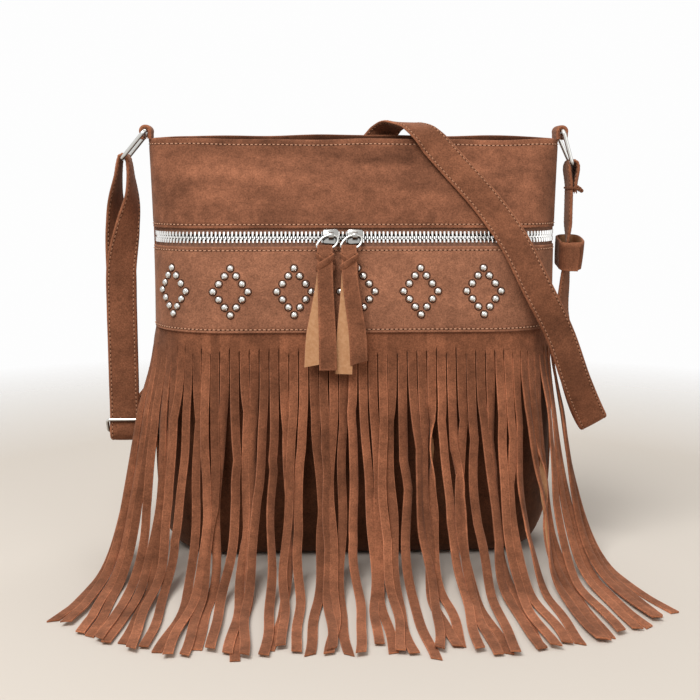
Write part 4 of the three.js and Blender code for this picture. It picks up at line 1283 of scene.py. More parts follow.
@dataclass
class Fringe:
    """One suede sheet cut into strips, which hang from the slit line and lie out over the floor.

    Each strip has a fixed scatter of its own. A share runs along a strip from 0 at its slit to 1 at its tip.
    """

    shape: BagShape
    palette: Palette
    strips: int = 52
    columns: Vector = (-1.0, -0.8, 0.0, 0.8, 1.0)
    thickness: float = 1.0
    inset: float = 1.5
    hang_steps: int = 30
    floor_steps: int = 9
    # Header and slits.
    header_rows: Vector = (177.0, 172.0, 168.0, 165.0, 162.0, 159.0, 157.0, 155.0, 153.0, 151.0)
    header_lean: float = 0.6
    header_flare: Pair = (3.2, 2.0)
    slit_rise: float = 3.0
    slit_scatter: float = 3.2
    kerf: float = 0.85
    kerf_run: float = 2.5
    # Line of a strip down to the floor and over it.
    flare_run: float = 100.0
    flare_wave: float = 5.0
    flare_scatter: float = 4.0
    floor_run: float = 74.0
    floor_scatter: float = 5.0
    fan: float = 1.09
    tip_scatter: float = 0.5
    tip_sway: float = 4.0
    tip_cut: float = 2.2
    side_flare: Pair = (10.5, 6.0)
    # Way of a strip off that line.
    gather: float = 3.9
    gather_turn: float = 1.5
    lift_step: float = 1.9
    pile_step: float = 1.3
    kinks: tuple[tuple[float, float, float, int], ...] = ((0.2, 0.09, 2.0, 16), (0.4, 0.12, 1.7, 18))
    kink_length: float = 0.045
    # Turn of a strip about its line, in degrees.
    slat_turn: float = -9.0
    slat_scatter: float = 11.0
    edge_turn: float = 72.0
    small_turn: float = 10.0
    edge_turn_above: float = 0.3
    turn_length: float = 0.15
    tan_turns: tuple[tuple[int, float, float], ...] = ((33, 0.25, 126.0), (44, 0.36, -122.0))
    tan_length: float = 0.085
    # Tone: painted light on the parts that lie on the floor, and a random tone per strip.
    painted_floor_light: float = 0.7
    shade_scatter: float = 0.62

    def _place(self, i: int) -> float:
        """Place of strip i along the header, from -1 at the left seam to 1 at the right."""
        return (2 * i + 1) / self.strips - 1.0

    def _half_run(self) -> float:
        """Half of the sheet's width at the slits."""
        return float(self.shape.half_run(Side.FRONT, self.shape.slit_top))

    def _slit(self, k: int) -> float:
        """Height at which the slit before strip k ends."""
        return self.shape.slit_top + self.slit_rise + self.slit_scatter * scatter(k, 7)

    def _header(self, i: int) -> Array:
        """Sections of strip i in the header: rows of points, front left to right and back again.

        Args:
            i: number of the strip.

        Returns:
            Rows of points, front left to right and back again.
        """
        z = np.array(self.header_rows)
        left = np.full_like(z, 2.0 * i / self.strips - 1.0)
        right = np.full_like(z, 2.0 * (i + 1) / self.strips - 1.0)
        half_kerf = self.kerf / 2.0 / self._half_run()
        left += half_kerf * smoothstep(self._slit(i) - z, 0.0, self.kerf_run)
        right -= half_kerf * smoothstep(self._slit(i + 1) - z, 0.0, self.kerf_run)
        u = (np.array(self.columns)[None, :] + 1.0) / 2.0
        share = left[:, None] * (1.0 - u) + right[:, None] * u
        free = smoothstep(min(self._slit(i), self._slit(i + 1)) - z, 0.0, 2.0 * self.kerf_run)[:, None]
        hung = smoothstep(z[0] - z, 0.0, z[0] - z[-1])[:, None]
        inset = self.inset + self.header_lean * free * (2.0 * u - 1.0)
        for hand, flare in zip(Hand, self.header_flare):
            inset = inset - flare * hung * smoothstep(hand.value * share, 0.8, 1.0)
        front = self.shape.wall(Side.FRONT, z[:, None], share, inset)
        back = self.shape.wall(Side.FRONT, z[:, None], share, inset + self.thickness)
        return np.concatenate([front, back[:, ::-1]], axis=1)

    def _line(self, i: int, top: Array) -> tuple[Array, Array]:
        """Centre line of a strip below the header.

        Args:
            i: number of the strip.
            top: where the line starts, which it leaves out.

        Returns:
            Points down to the tip, and the strip's heading on the floor.
        """
        calm = 1.0 - float(smoothstep(abs(self._place(i)), 0.45, 0.7))
        wave = self.flare_wave * math.sin(0.9 * i) + self.flare_scatter * scatter(i, 2)
        flare = self.flare_run + calm * wave
        lie = self.floor_run + self.floor_scatter * scatter(i, 3)
        tip = self.fan * self._place(i) * self._half_run() + self.tip_scatter * scatter(i, 1)
        sideways = (tip - top[0]) / (flare + lie)
        heading = np.array([sideways, -math.sqrt(1.0 - sideways**2), 0.0])
        floor = LAYER_GAP + self.thickness / 2.0 + (i % 2) * (self.thickness + LAYER_GAP)

        def point(run: float, z: float) -> Array:
            """Point at a run from the wall and a height."""
            return np.array([*(top + heading * run)[:2], z])

        landing = point(flare, floor)
        control = [top, point(0.08 * flare, 0.59 * self.shape.slit_top), point(0.3 * flare, floor), landing]
        t = np.linspace(0.0, 1.0, self.hang_steps + 1)[1:, None]
        weights = [(1 - t) ** 3, 3 * t * (1 - t) ** 2, 3 * t**2 * (1 - t), t**3]
        hang = sum(w * c for w, c in zip(weights, control))
        end = point(flare + lie, floor) + np.cross(heading, UP) * self.tip_sway * scatter(i, 4)
        bend = point(flare + lie / 2.0, floor)
        t = np.linspace(0.0, 1.0, self.floor_steps + 1)[1:, None]
        rest = (1 - t) ** 2 * landing + 2 * t * (1 - t) * bend + t**2 * end
        return np.vstack([hang, rest]), heading

    def _twist(self, i: int, share: Array) -> Array:
        """Angle in radians by which strip i turns about its line: slats, edges on, and tan backs.

        Args:
            i: number of the strip.
            share: places along it.

        Returns:
            Angles in radians.
        """
        for strip, station, angle in self.tan_turns:
            if strip == i:
                return np.radians(angle) * np.exp(-(((share - station) / self.tan_length) ** 2))
        reach = self.edge_turn if scatter(i, 15) > self.edge_turn_above else self.small_turn
        station = 0.38 + 0.16 * scatter(i, 8)
        turn = np.radians(reach * scatter(i, 14)) * np.exp(-(((share - station) / self.turn_length) ** 2))
        return np.radians(self.slat_turn + self.slat_scatter * scatter(i, 5)) + turn

    def _sway(self, i: int, share: Array) -> Array:
        """Way of strip i sideways off its line: tufts, slow waves and kinks, less at the seams.

        Args:
            i: number of the strip.
            share: places along it.

        Returns:
            Distances to its right.
        """
        free = smoothstep(share, 0.06, 0.42)
        tuft = math.sin(self.gather_turn * i + 0.9 * math.sin(0.37 * i))
        gather = self.gather * (tuft + 0.4 * scatter(i, 9))
        sway = gather * free * (1.0 - 0.35 * smoothstep(share, 0.55, 1.0))
        sway = sway + (1.5 * np.sin(8.0 * share + 2.3 * i) + 0.8 * np.sin(19.0 * share + 1.3 * i)) * free
        for station, spread, depth, salt in self.kinks:
            off = np.abs(share - station - spread * scatter(i, salt))
            sway = sway + depth * scatter(i, salt + 1) * np.exp(-off / self.kink_length)
        return sway * (1.0 - float(smoothstep(abs(self._place(i)), 0.72, 0.95)))

    def _strip(self, i: int) -> Array:
        """All sections of strip i from the top of the header to its tip.

        Args:
            i: number of the strip.

        Returns:
            Rows of points, front left to right and back again.
        """
        header = self._header(i)
        root = header[-1]
        columns = len(self.columns)
        top = (root[columns // 2] + root[-1 - columns // 2]) / 2.0
        across = root[columns - 1] - root[0]
        width = float(np.linalg.norm(across))
        line, heading = self._line(i, top)
        whole = np.vstack([top, line])
        run = np.cumsum(np.linalg.norm(np.diff(whole, axis=0), axis=1))
        share = run / run[-1]
        settle = smoothstep(np.arange(1, len(line) + 1), 0.0, self.hang_steps)[:, None]
        along = unit(np.gradient(whole, axis=0))[1:]
        side = unit(unit(across)[None] * (1.0 - settle) + np.cross(UP, heading)[None] * settle)
        ahead = unit(np.cross(along, side))
        side = np.cross(ahead, along)
        hang = smoothstep(share, 0.02, 0.2) * (1.0 - smoothstep(share, 0.62, 0.82))
        twist = (self._twist(i, share) * hang)[:, None]
        turned = side * np.cos(twist) + ahead * np.sin(twist)
        out = ahead * np.cos(twist) - side * np.sin(twist)
        tier = (i * 2) % 3
        lift = (0.5 + self.lift_step * tier) * hang
        line = line + ahead * lift[:, None] + side * self._sway(i, share)[:, None]
        line[:, 2] += self.pile_step * (tier - i % 2) * smoothstep(share, 0.6, 0.85)
        place = self._place(i)
        flare = math.copysign(self.side_flare[place > 0], place) * float(smoothstep(abs(place), 0.6, 1.0))
        line[:, 0] += flare * np.sin(math.pi * np.clip(share / 0.9, 0.0, 1.0))
        cut_width = 2.0 * self._half_run() / self.strips - self.kerf
        slim = 1.0 + (cut_width / width - 1.0) * smoothstep(share, 0.0, 0.03)
        slim = slim + 0.04 * scatter(i, 13) * smoothstep(share, 0.0, 0.2)
        curl = (0.8 + 0.7 * scatter(i, 10)) * smoothstep(share, 0.02, 0.2)
        curl = curl * (1.0 - 0.8 * smoothstep(share, 0.6, 0.85))
        cut = np.zeros(len(line))
        cut[-1] = self.tip_cut * scatter(i, 11)
        u = np.array(self.columns)[None, :, None]
        slim, curl, cut = (v[:, None, None] for v in (slim, curl, cut))
        base = line[:, None] + turned[:, None] * (u * slim * width / 2.0)
        base = base + out[:, None] * curl * (0.5 - u**2) + along[:, None] * cut * u
        half = out[:, None] * self.thickness / 2.0
        hung = np.concatenate([base + half, (base - half)[:, ::-1]], axis=1)
        hung[:, :, 2] = np.maximum(hung[:, :, 2], LAYER_GAP / 2.0)
        return np.concatenate([header, hung])

    def build(self) -> list[Piece]:
        """The fringe as one piece.

        Returns:
            The piece, in a list.
        """
        points, faces, places, edge, shade = [], [], [], [], []
        tops = len(self.header_rows)
        right = len(self.columns) - 1
        left = 2 * right + 1
        border = np.abs([*self.columns, *self.columns[::-1]]) == 1.0
        for i in range(self.strips):
            rings = self._strip(i)
            start = len(points)
            points.extend(rings.reshape(-1, 3))
            count, size = rings.shape[:2]
            edge.extend(np.tile(border, count) & np.repeat(np.arange(count) >= tops, size))
            # painted light on the parts of each strip that lie on the floor
            painted_lying_light = self.painted_floor_light * smoothstep(np.arange(count) / count, 0.72, 0.9)
            shade.extend(np.repeat(painted_lying_light, size) + self.shade_scatter * scatter(i, 12))
            slits = {right: self._slit(i + 1), left: self._slit(i)}
            seam = {right: self.strips - 1, left: 0}
            for k in range(count - 1):
                for j in range(size):
                    if k < tops - 1 and j in slits and seam[j] != i and self.header_rows[k + 1] >= slits[j]:
                        continue
                    a, b = start + k * size + j, start + k * size + (j + 1) % size
                    faces.append((a, a + size, b + size, b))
                    part = Face.EDGE if j in slits else Face.OUTER if j < right else Face.INNER
                    places.append(part.value)
            faces.append(tuple(range(start, start + size)))
            faces.append(tuple(range(start + count * size - 1, start + (count - 1) * size - 1, -1)))
            places += [Face.EDGE.value] * 2
        marks = {"edge": np.array(edge, float), "shade": np.array(shade, float)}
        data = MeshData(np.array(points), faces, places, marks).faced_out()
        piece = data.build("fringe_suede", self.palette.sheet(self.palette.fringe))
        mesh = bmesh.new()
        mesh.from_mesh(piece.data)
        bmesh.ops.remove_doubles(mesh, verts=mesh.verts, dist=MERGE)
        mesh.to_mesh(piece.data)
        mesh.free()
        enter(piece, "bag", Slot.SUEDE, "fringe")
        return [piece]


def softened_copy(node: str, name: str, materials: list[Material], bevel: float) -> Piece:
    """Copy of a rigid CAD node with softened edges and a mark of painted shade on faces turned from a fixed
    light.

    Args:
        node: name of the node.
        name: name of the new object.
        materials: material of its faces and of its softened edges; the latter can paint dark reflections.
        bevel: width of the softened edges.

    Returns:
        The new object, in the scene.
    """
    mesh = bmesh.new()
    mesh.from_mesh(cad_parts[node].data)
    bmesh.ops.remove_doubles(mesh, verts=mesh.verts, dist=MERGE)
    bmesh.ops.dissolve_limit(mesh, angle_limit=math.radians(2.0), verts=mesh.verts, edges=mesh.edges)
    sharp = [e for e in mesh.edges if len(e.link_faces) == 2 and e.calc_face_angle(0.0) > math.radians(35.0)]
    shape = {"segments": 2, "profile": 0.6, "affect": "EDGES", "clamp_overlap": True, "material": 1}
    bmesh.ops.bevel(mesh, geom=sharp, offset=bevel * METRES, **shape)
    mesh.normal_update()
    shade = painted_turned_away_shade(np.array([v.normal for v in mesh.verts]))
    data = bpy.data.meshes.new(name)
    mesh.to_mesh(data)
    mesh.free()
    data.attributes.new("shade", "FLOAT", "POINT").data.foreach_set("value", shade.astype(np.float32))
    for material in materials:
        data.materials.append(material)
    data.polygons.foreach_set("use_smooth", np.ones(len(data.polygons), bool))
    data.set_sharp_from_angle(angle=math.radians(42.0))
    return linked(name, data)


@dataclass
class Zip:
    """Front zip: tapes, interlocked teeth, two sliders and their wire pulls."""

    shape: BagShape
    palette: Palette
    height: float = 233.6
    tape: float = 0.6
    tape_inset: float = 1.5
    tape_rows: Pair = (2.6, 16.2)
    tape_reach: float = 0.985
    reach: float = 0.972
    tooth_pitch: float = 2.9
    leg_half: Triple = (0.9, 1.35, 1.25)
    leg_rise: float = 2.55
    head_half: Triple = (0.62, 1.0, 0.75)
    head_rise: float = 0.45
    tilt: float = 1.27413
    slider_places: Pair = (-18.5, -1.5)
    slider_bevel: float = 0.42
    lug_middle: float = 5.0
    pull_wire: float = 0.9
    pull_top: float = 3.0
    pull_drop: float = 9.0
    pull_half_width: float = 6.7
    pull_lean: float = -4.6

    @property
    def chain(self) -> Array:
        """Middle of the chain at the middle of the front."""
        depth = float(self.shape.section(Side.FRONT, self.height)[1])
        return np.array([0.0, -(depth - self.tape_inset - self.tape / 2.0) - LAYER_GAP / 2.0, self.height])

    def local(self, points: Array, x: float) -> Array:
        """Points of the zip's own frame in the bag's frame.

        Args:
            points: X along the chain, Y up the tape and Z outwards.
            x: place along the chain.

        Returns:
            The same points in the bag's frame.
        """
        c, s = math.cos(self.tilt), math.sin(self.tilt)
        along, up, out = points[..., 0], points[..., 1], points[..., 2]
        return np.stack([along + x, c * up - s * out, s * up + c * out], -1) + self.chain

    def _tape(self, up: int) -> Piece:
        """One half of the tape, from the back of the teeth to under the suede.

        Args:
            up: 1 for the upper half, -1 for the lower.

        Returns:
            The piece.
        """
        z = self.height + up * np.linspace(*self.tape_rows, 10)
        share = np.linspace(-self.tape_reach, self.tape_reach, 120)[None, :]
        insets = (self.tape_inset, self.tape_inset + self.tape)
        faces = [self.shape.wall(Side.FRONT, z[:, None], share, inset) for inset in insets]
        word = "upper" if up > 0 else "lower"
        piece = MeshData.sheet(*faces).build(f"zip_tape_{word}_cloth", [self.palette.tape])
        enter(piece, "bag", Slot.TAPE, "zip_tape_" + word)
        return piece

    def _rows(self, rise: float) -> list[Route]:
        """Lines of the upper and the lower row, half a pitch apart.

        Args:
            rise: distance of each row from the middle of the chain.

        Returns:
            Both lines.
        """
        half = float(self.shape.half_run(Side.FRONT, self.height))
        inset = self.tape_inset + self.tape / 2.0
        spare = self.tooth_pitch / 2.0 / half
        upper = self.shape.line(Side.FRONT, self.height + rise, self.reach, inset)
        return [upper, self.shape.line(Side.FRONT, self.height - rise, self.reach - spare, inset)]

    def _teeth(self) -> list[Piece]:
        """Legs and heads of both rows of teeth. The legs stand for both nodes.

        Returns:
            Both pieces.
        """
        pieces = []
        for word, half, rise, nodes in (
            ("legs", self.leg_half, self.leg_rise, ("zip_teeth_upper", "zip_teeth_lower")),
            ("heads", self.head_half, self.head_rise, ()),
        ):
            pattern = RowPattern(RowShape.TOOTH, half, self.tooth_pitch, self.palette.teeth, self._rows(rise))
            pieces.append(enter(pattern.build("zip_teeth_" + word), "bag", Slot.NICKEL, *nodes))
        return pieces

    def _pull(self, hand: Hand, x: float) -> Piece:
        """Wire loop that hangs from a slider's lug.

        Args:
            hand: which of the two.
            x: place of its slider.

        Returns:
            The piece.
        """
        top, wide, drop = self.pull_top, self.pull_half_width, self.pull_drop
        right = np.array([
            (0.6 * top, 0.0), (top, -0.1), (top + 1.7, -0.1 * drop), (wide - 0.6, -0.35 * drop),
            (wide, -0.6 * drop), (wide - 0.3, -0.82 * drop), (wide - 1.6, -0.97 * drop), (0.4 * wide, -drop),
        ])
        corners = np.vstack([right, right[::-1] * (-1.0, 1.0), right[:1]])
        corners[:, 0] -= self.pull_lean * corners[:, 1] / drop
        level = np.full(len(corners), self.lug_middle)
        flat = Route(np.column_stack([corners, level]), np.zeros((len(corners), 3)) + UP)
        points = self.local(flat.smoothed(0.5).at[:-1], x)
        normal = np.array([0.0, -math.sin(self.tilt), math.cos(self.tilt)])
        data = MeshData.wire(points, normal, self.pull_wire)
        piece = data.build(f"zip_pull_{hand.word}_wire", [self.palette.nickel])
        return enter(piece, "pull_" + hand.word, Slot.NICKEL, "zip_pull_" + hand.word)

    def build(self) -> list[Piece]:
        """All pieces of the zip.

        Returns:
            The pieces.
        """
        pieces = [self._tape(1), self._tape(-1), *self._teeth()]
        metals = [self.palette.slider, self.palette.slider_edge]
        for hand, x in zip(Hand, self.slider_places):
            node = "zip_slider_" + hand.word
            slider = softened_copy(node, node + "_metal", metals, self.slider_bevel)
            pieces += [enter(slider, "slider_" + hand.word, Slot.NICKEL, node), self._pull(hand, x)]
        return pieces


@dataclass
class Tassel:
    """Suede strip folded over a pull, bound by a crossed knot, with two tails."""

    zip: Zip
    palette: Palette
    hand: Hand
    back_end: float
    front_end: float
    cuts: Pair
    half_width: float = 5.5
    widening: float = 0.14
    thickness: float = 1.1
    splay: float = 5.3
    spread: float = 2.4
    drift: float = -1.3
    clear: float = 6.4
    knot_width: float = 4.4
    knot_drop: float = 9.4

    def _bar(self) -> Array:
        """Middle of the pull's bar."""
        x = self.zip.slider_places[self.hand is Hand.RIGHT] + self.zip.pull_lean
        return self.zip.local(np.array([0.0, -self.zip.pull_drop, self.zip.lug_middle]), x)

    def _tail(self, side: int, end: float) -> list[Station]:
        """Stations of one tail.

        Args:
            side: 1 for the tail behind, -1 for the one in front.
            end: height of its end.

        Returns:
            Stations from the bar down to the end.
        """
        bar = self._bar()
        behind = bar[1] + self.bend
        stations = []
        for share in (0.06, 0.2, 0.32, 0.5, 0.75, 1.0):
            z = bar[2] - (bar[2] - end) * share
            face = -float(self.zip.shape.section(Side.FRONT, z)[1]) - LAYER_GAP / 2.0 - self.clear
            y = min(face, behind) - (self.thickness + 2.0 * LAYER_GAP if side < 0 else 0.0)
            push = self.drift + self.hand.value * self.spread - side * self.splay
            middle = bar[0] + push * float(smoothstep(share, 0.1, 0.95))
            stations.append(((middle, y, z), (0.12 * side * share, side, 0.0)))
        return stations

    @property
    def bend(self) -> float:
        """Radius of the strip's middle line over the bar."""
        return self.zip.pull_wire + LAYER_GAP + self.thickness / 2.0

    def _route(self) -> Route:
        """From the back tail's end up over the pull's bar and down to the front tail's end.

        Returns:
            The strip's middle line, facing outwards.
        """
        over = []
        for angle in np.radians((180, 150, 120, 90, 60, 30, 0)):
            out = (0.0, -math.cos(angle), math.sin(angle))
            over.append((tuple(self._bar() + self.bend * np.array(out)), out))
        return Route.of([*self._tail(1, self.back_end)[::-1], *over, *self._tail(-1, self.front_end)])

    def _band(self, slant: int, depth: float) -> MeshData:
        """One of the two crossed bands of the knot.

        Args:
            slant: 1 or -1, the way that it leans.
            depth: distance in front of the tail.

        Returns:
            The band.
        """
        bar = self._bar()
        front = float(self._route().at[:, 1][-6]) - self.thickness / 2.0 - depth
        half_rows = ((0.0, -0.35, 0.0), (0.85, 0.2, 3.2), (1.12, 1.6, 4.6), (0.9, 3.4, 5.2))
        rows = [(-share, back, drop) for share, back, drop in half_rows[:0:-1]]
        rows += [(share, back, -drop) for share, back, drop in half_rows]
        stations = []
        for share, back, rise in rows:
            out = (slant * 0.8 * share, -1.0 if abs(share) < 1.1 else -0.25, 0.0)
            place = (bar[0] + slant * share * self.half_width, front + back, bar[2] - self.knot_drop + rise)
            stations.append((place, out))
        profile = Profile.flat(self.knot_width, self.thickness, 6, 0.35)
        return MeshData.ribbon(Route.of(stations).smoothed(0.6), profile)

    def build(self) -> list[Piece]:
        """The tassel as one piece.

        Returns:
            The piece, in a list.
        """
        route = self._route().smoothed(1.6)
        share = np.abs(np.linspace(-1.0, 1.0, len(route.at)))
        profile = Profile.flat(2.0 * self.half_width, self.thickness, 8, 0.15)
        strip = MeshData.ribbon(route, profile, 1.0 + self.widening * smoothstep(share, 0.2, 1.0), self.cuts)
        data = strip.joined(self._band(1, 0.6)).joined(self._band(-1, 1.8))
        name = "tassel_" + self.hand.word
        piece = data.build(name + "_suede", self.palette.sheet(self.palette.strap))
        enter(piece, "pull_" + self.hand.word, Slot.SUEDE, name)
        return [piece]


@dataclass
class RingSet:
    """Rectangular wire rings at the ends of the rim, in leather tabs."""

    shape: BagShape
    palette: Palette
    overhang: float = 1.5
    pivot_height: float = 309.3
    wire: float = 1.5
    drop: float = 26.0
    half_span: float = 13.0
    corner: float = 3.0
    leans: Pair = (40.0, 21.0)
    twists: Pair = (0.0, 2.2)
    tab_width: float = 18.0
    tab_leather: float = 2.6
    tab_bore: float = 1.9

    def pivot(self, hand: Hand) -> Array:
        """Middle of a ring's upper bar."""
        return np.array([hand.value * (self.shape.rim_half_width + self.overhang), 0.0, self.pivot_height])

    def bar(self, hand: Hand) -> Array:
        """Middle of a ring's lower bar, which carries the strap."""
        lean = math.radians(self.leans[hand is Hand.RIGHT])
        return self.pivot(hand) + self.drop * np.array([hand.value * math.sin(lean), 0.0, -math.cos(lean)])

    def _ring(self, hand: Hand) -> Piece:
        """One wire ring.

        Args:
            hand: which of the two.

        Returns:
            The piece.
        """
        outline = rounded_outline(self.half_span, self.drop / 2.0, self.corner, 8)
        down = unit(self.bar(hand) - self.pivot(hand))
        points = self.pivot(hand) + np.outer(self.drop / 2.0 - outline[:, 1], down)
        points[:, 1] += outline[:, 0]
        twist = self.twists[hand is Hand.RIGHT]
        points[:, 0] += twist * outline[:, 0] / self.half_span * (0.5 - outline[:, 1] / self.drop)
        data = MeshData.wire(points, np.cross(down, (0.0, 1.0, 0.0)), self.wire)
        node = "strap_ring_" + hand.word
        piece = data.build(node + "_wire", [self.palette.nickel])
        return enter(piece, "ring_" + hand.word, Slot.NICKEL, node)

    def _tab(self, hand: Hand) -> Piece:
        """Leather strip folded over a ring's upper bar, with both ends at the rim.

        Args:
            hand: which of the two.

        Returns:
            The piece.
        """
        stations = [((-0.82, 0.0, -1.75), (-1.0, 0.0, 0.0)), ((-0.92, 0.0, -1.1), (-1.0, 0.0, 0.0))]
        for angle in np.radians(np.linspace(200.0, -20.0, 12)):
            out = (math.cos(angle), 0.0, math.sin(angle))
            stations.append((out, out))
        stations += [((0.92, 0.0, -1.1), (1.0, 0.0, 0.0)), ((0.82, 0.0, -1.75), (1.0, 0.0, 0.0))]
        route = Route.of(stations)
        route.at = self.pivot(hand) + (self.tab_bore + self.tab_leather / 2.0) * route.at
        profile = Profile.flat(self.tab_width, self.tab_leather, 8, 0.15)
        data = MeshData.ribbon(route.smoothed(0.6), profile)
        node = "ring_tab_" + hand.word
        piece = data.build(node + "_leather", self.palette.sheet(self.palette.strap))
        enter(piece, "bag", Slot.SUEDE, node)
        return piece

    def build(self) -> list[Piece]:
        """Both rings and both tabs."""
        return [piece for hand in Hand for piece in (self._ring(hand), self._tab(hand))]


@dataclass
class Strap:
    """Long suede strap with two stitch rows, its keeper and its wire slide."""

    shape: BagShape
    palette: Palette
    rings: RingSet
    width: float = 22.0
    thickness: float = 2.2
    slack: float = 0.35
    ease: float = 1.7
    stud_ease: float = 2.3
    stitch_edge: float = 2.0
    stitch_sunk: float = 0.22
    slide_wire: float = 1.2
    slide_corner: float = 2.4
    slide_place: Triple = (-173.3, -3.0, 86.0)
    slide_rise: Triple = (0.0, -6.0, 10.0)
    keeper_height: float = 21.0
    keeper_middle: float = 220.0
    keeper_half_depth: float = 7.5
    keeper_leather: float = 1.6
    keeper_corner: float = 5.0
    keeper_lap: float = 1.9
    keeper_tilt: float = 0.2
    keeper_taper: float = 0.1
    keeper_shift: float = 1.2
    keeper_turn: Triple = (-0.95, 0.31, 0.0)
    lace: float = 0.75
    lace_drop: float = 17.0
    blend_from: Pair = (232.0, 236.0)
    blend_below_bar: float = 6.0
    layers_apart: float = field(init=False)
    bend: float = field(init=False)
    slide_bend: float = field(init=False)
    slide_bar: Array = field(init=False)
    slide_front: Array = field(init=False)

    def __post_init__(self) -> None:
        """Distances and places that follow from the sizes."""
        self.layers_apart = self.thickness + 2.0 * self.slack
        self.bend = self.rings.wire + self.slack + self.thickness / 2.0
        self.slide_bend = self.slide_wire + self.slack + self.thickness / 2.0
        self.slide_bar = np.array(self.slide_place)
        self.slide_front = self.slide_bar + self.slide_rise

    @staticmethod
    def _arc(centre: Array, radius: float, first: Vector, second: Vector, angles: list[float]) -> Route:
        """Stations on an arc.

        Args:
            centre: middle of the arc.
            radius: its radius.
            first: direction of angle 0.
            second: direction of 90 degrees.
            angles: angles of the stations in degrees.

        Returns:
            The arc, facing outwards.
        """
        a = np.radians(angles)[:, None]
        out = np.cos(a) * np.array(first) + np.sin(a) * np.array(second)
        return Route(centre + radius * out, out)

    def _laid(self, side: Side, x: float, z: float, clear: float) -> Station:
        """Station on the straight middle of a wall, clear of it by a distance.

        Args:
            side: front or back.
            x: place along the wall.
            z: height.
            clear: gap to the wall's face.

        Returns:
            The station.
        """
        depth = float(self.shape.section(side, z)[1])
        lean = float(self.shape.section(side, z - 1.0)[1] - self.shape.section(side, z + 1.0)[1]) / 2.0
        out = unit(np.array([0.0, side.value, lean]))
        at = np.array([x, side.value * (depth + LAYER_GAP / 2.0), z]) + out * (clear + self.thickness / 2.0)
        return tuple(at), tuple(out)

    def right_route(self) -> Route:
        """Sewn end round the right ring, down to the keeper.

        Returns:
            Middle line of the part.
        """
        bar = self.rings.bar(Hand.RIGHT)
        half = self.layers_apart / 2.0
        right = (
            (half, -20.0, 0), (half, -16.4, 0), (half + 0.4, -12.5, -8), (half + 1.2, -7.6, -8),
            (half + 1.8, -3.3, 0), (half + 1.5, 0.2, 28), (half + 0.4, 2.3, 60), (0.0, 3.1, 90),
        )

        def loop(side: int) -> list[Station]:
            """Stations of one half of the loop, from its foot up to over the bar.

            Args:
                side: 1 for the right half, -1 for the left.

            Returns:
                The stations.
            """
            stations = []
            for aside, rise, turn in right:
                a = math.radians(turn)
                out = (side * math.cos(a), 0.0, math.sin(a))
                stations.append(((bar[0] + side * aside, 0.0, bar[2] + rise), out))
            return stations

        x = bar[0] - half
        down = Route.of([
            ((x, 0.0, self.keeper_middle + self.keeper_height), (-1, 0, 0)),
            ((x, 0.0, self.keeper_middle), self.keeper_turn),
        ])
        return Route.of(loop(1)) + Route.of(loop(-1)[-2::-1]) + down

    def middle_route(self) -> Route:
        """From the keeper down to the hanging fold, across the front, over the rims and down the back.

        Returns:
            Middle line of the part.
        """
        x = self.rings.bar(Hand.RIGHT)[0] - self.layers_apart / 2.0
        drop = Route.of([
            ((x, 0.0, self.keeper_middle), self.keeper_turn),
            ((x - 1.5, -1.0, self.keeper_middle - self.keeper_height), (-0.88, 0.47, 0)),
            ((157.0, -4.0, 176.0), (-0.82, 0.57, 0)),
            ((159.0, -9.0, 150.0), (-0.6, 0.8, 0)),
            ((165.5, -16.5, 124.0), (-0.15, 1, 0)),
        ])
        angles = [0, 30, 60, 90, 120, 150, 180]
        fold = self._arc(np.array([174.6, -26.0, 100.0]), 6.0, (0, 1, 0), (0.48, 0, -0.88), angles)
        up = ((91.0, 260.0), (70.0, 284.0), (57.0, 299.0))
        front = Route.of([
            ((161.0, -42.0, 127.0), (0.1, -1, 0)),
            ((146.0, -49.0, 164.0), (0.2, -1, 0)),
            *(self._laid(Side.FRONT, x, z, self.stud_ease) for x, z in ((128.0, 197.0), (110.0, 233.0))),
            *(self._laid(Side.FRONT, x, z, self.ease) for x, z in up),
        ])
        down = ((12.0, 295.0), (-6.0, 273.0), (-32.0, 242.0), (-62.0, 206.0), (-97.0, 168.0))
        back = Route.of([
            ((50.0, -16.0, 308.0), (0, -0.6, 0.8)),
            ((43.0, -7.0, 313.5), (0, -0.2, 1)),
            ((36.0, 3.0, 315.0), (0, 0.05, 1)),
            ((28.0, 13.0, 314.0), (0, 0.4, 0.9)),
            ((21.0, 19.5, 307.0), (0, 0.85, 0.5)),
            *(self._laid(Side.BACK, x, z, self.ease) for x, z in down),
            ((-128.0, 52.0, 135.0), (-0.3, 0.95, 0)),
            ((-150.0, 40.0, 112.0), (-0.35, 0.9, -0.2)),
            ((-166.0, 24.0, 92.0), (-0.2, 0.7, -0.65)),
            ((-173.5, 10.0, 82.5), (0, 0.35, -0.95)),
        ])
        outer = self.slide_bend + self.layers_apart
        around = self._arc(self.slide_bar, outer, (0, 0, -1), (0, -1, 0), [10, 40])
        return drop + fold + front + back + around

    def left_route(self) -> Route:
        """Round the slide, up to the left ring, over its bar and down to the sewn end.

        Returns:
            Middle line of the part.
        """
        bar = self.rings.bar(Hand.LEFT)
        outer = self.slide_bend + self.layers_apart
        around = self._arc(self.slide_bar, outer, (0, 0, -1), (0, -1, 0), [40, 70, 95])
        middle = self.slide_front[1] + self.slide_bend + self.layers_apart / 2.0
        near = self.layers_apart / 2.0
        rows = (
            (0.0, 0, self.bend), (0.06, 4, 4.6), (0.14, 18, 6.6), (0.26, 48, 6.0), (0.4, 78, 3.4),
            (0.55, 90, 1.7), (0.7, 90, near), (0.85, 90, near), (1.0, 90, near),
        )

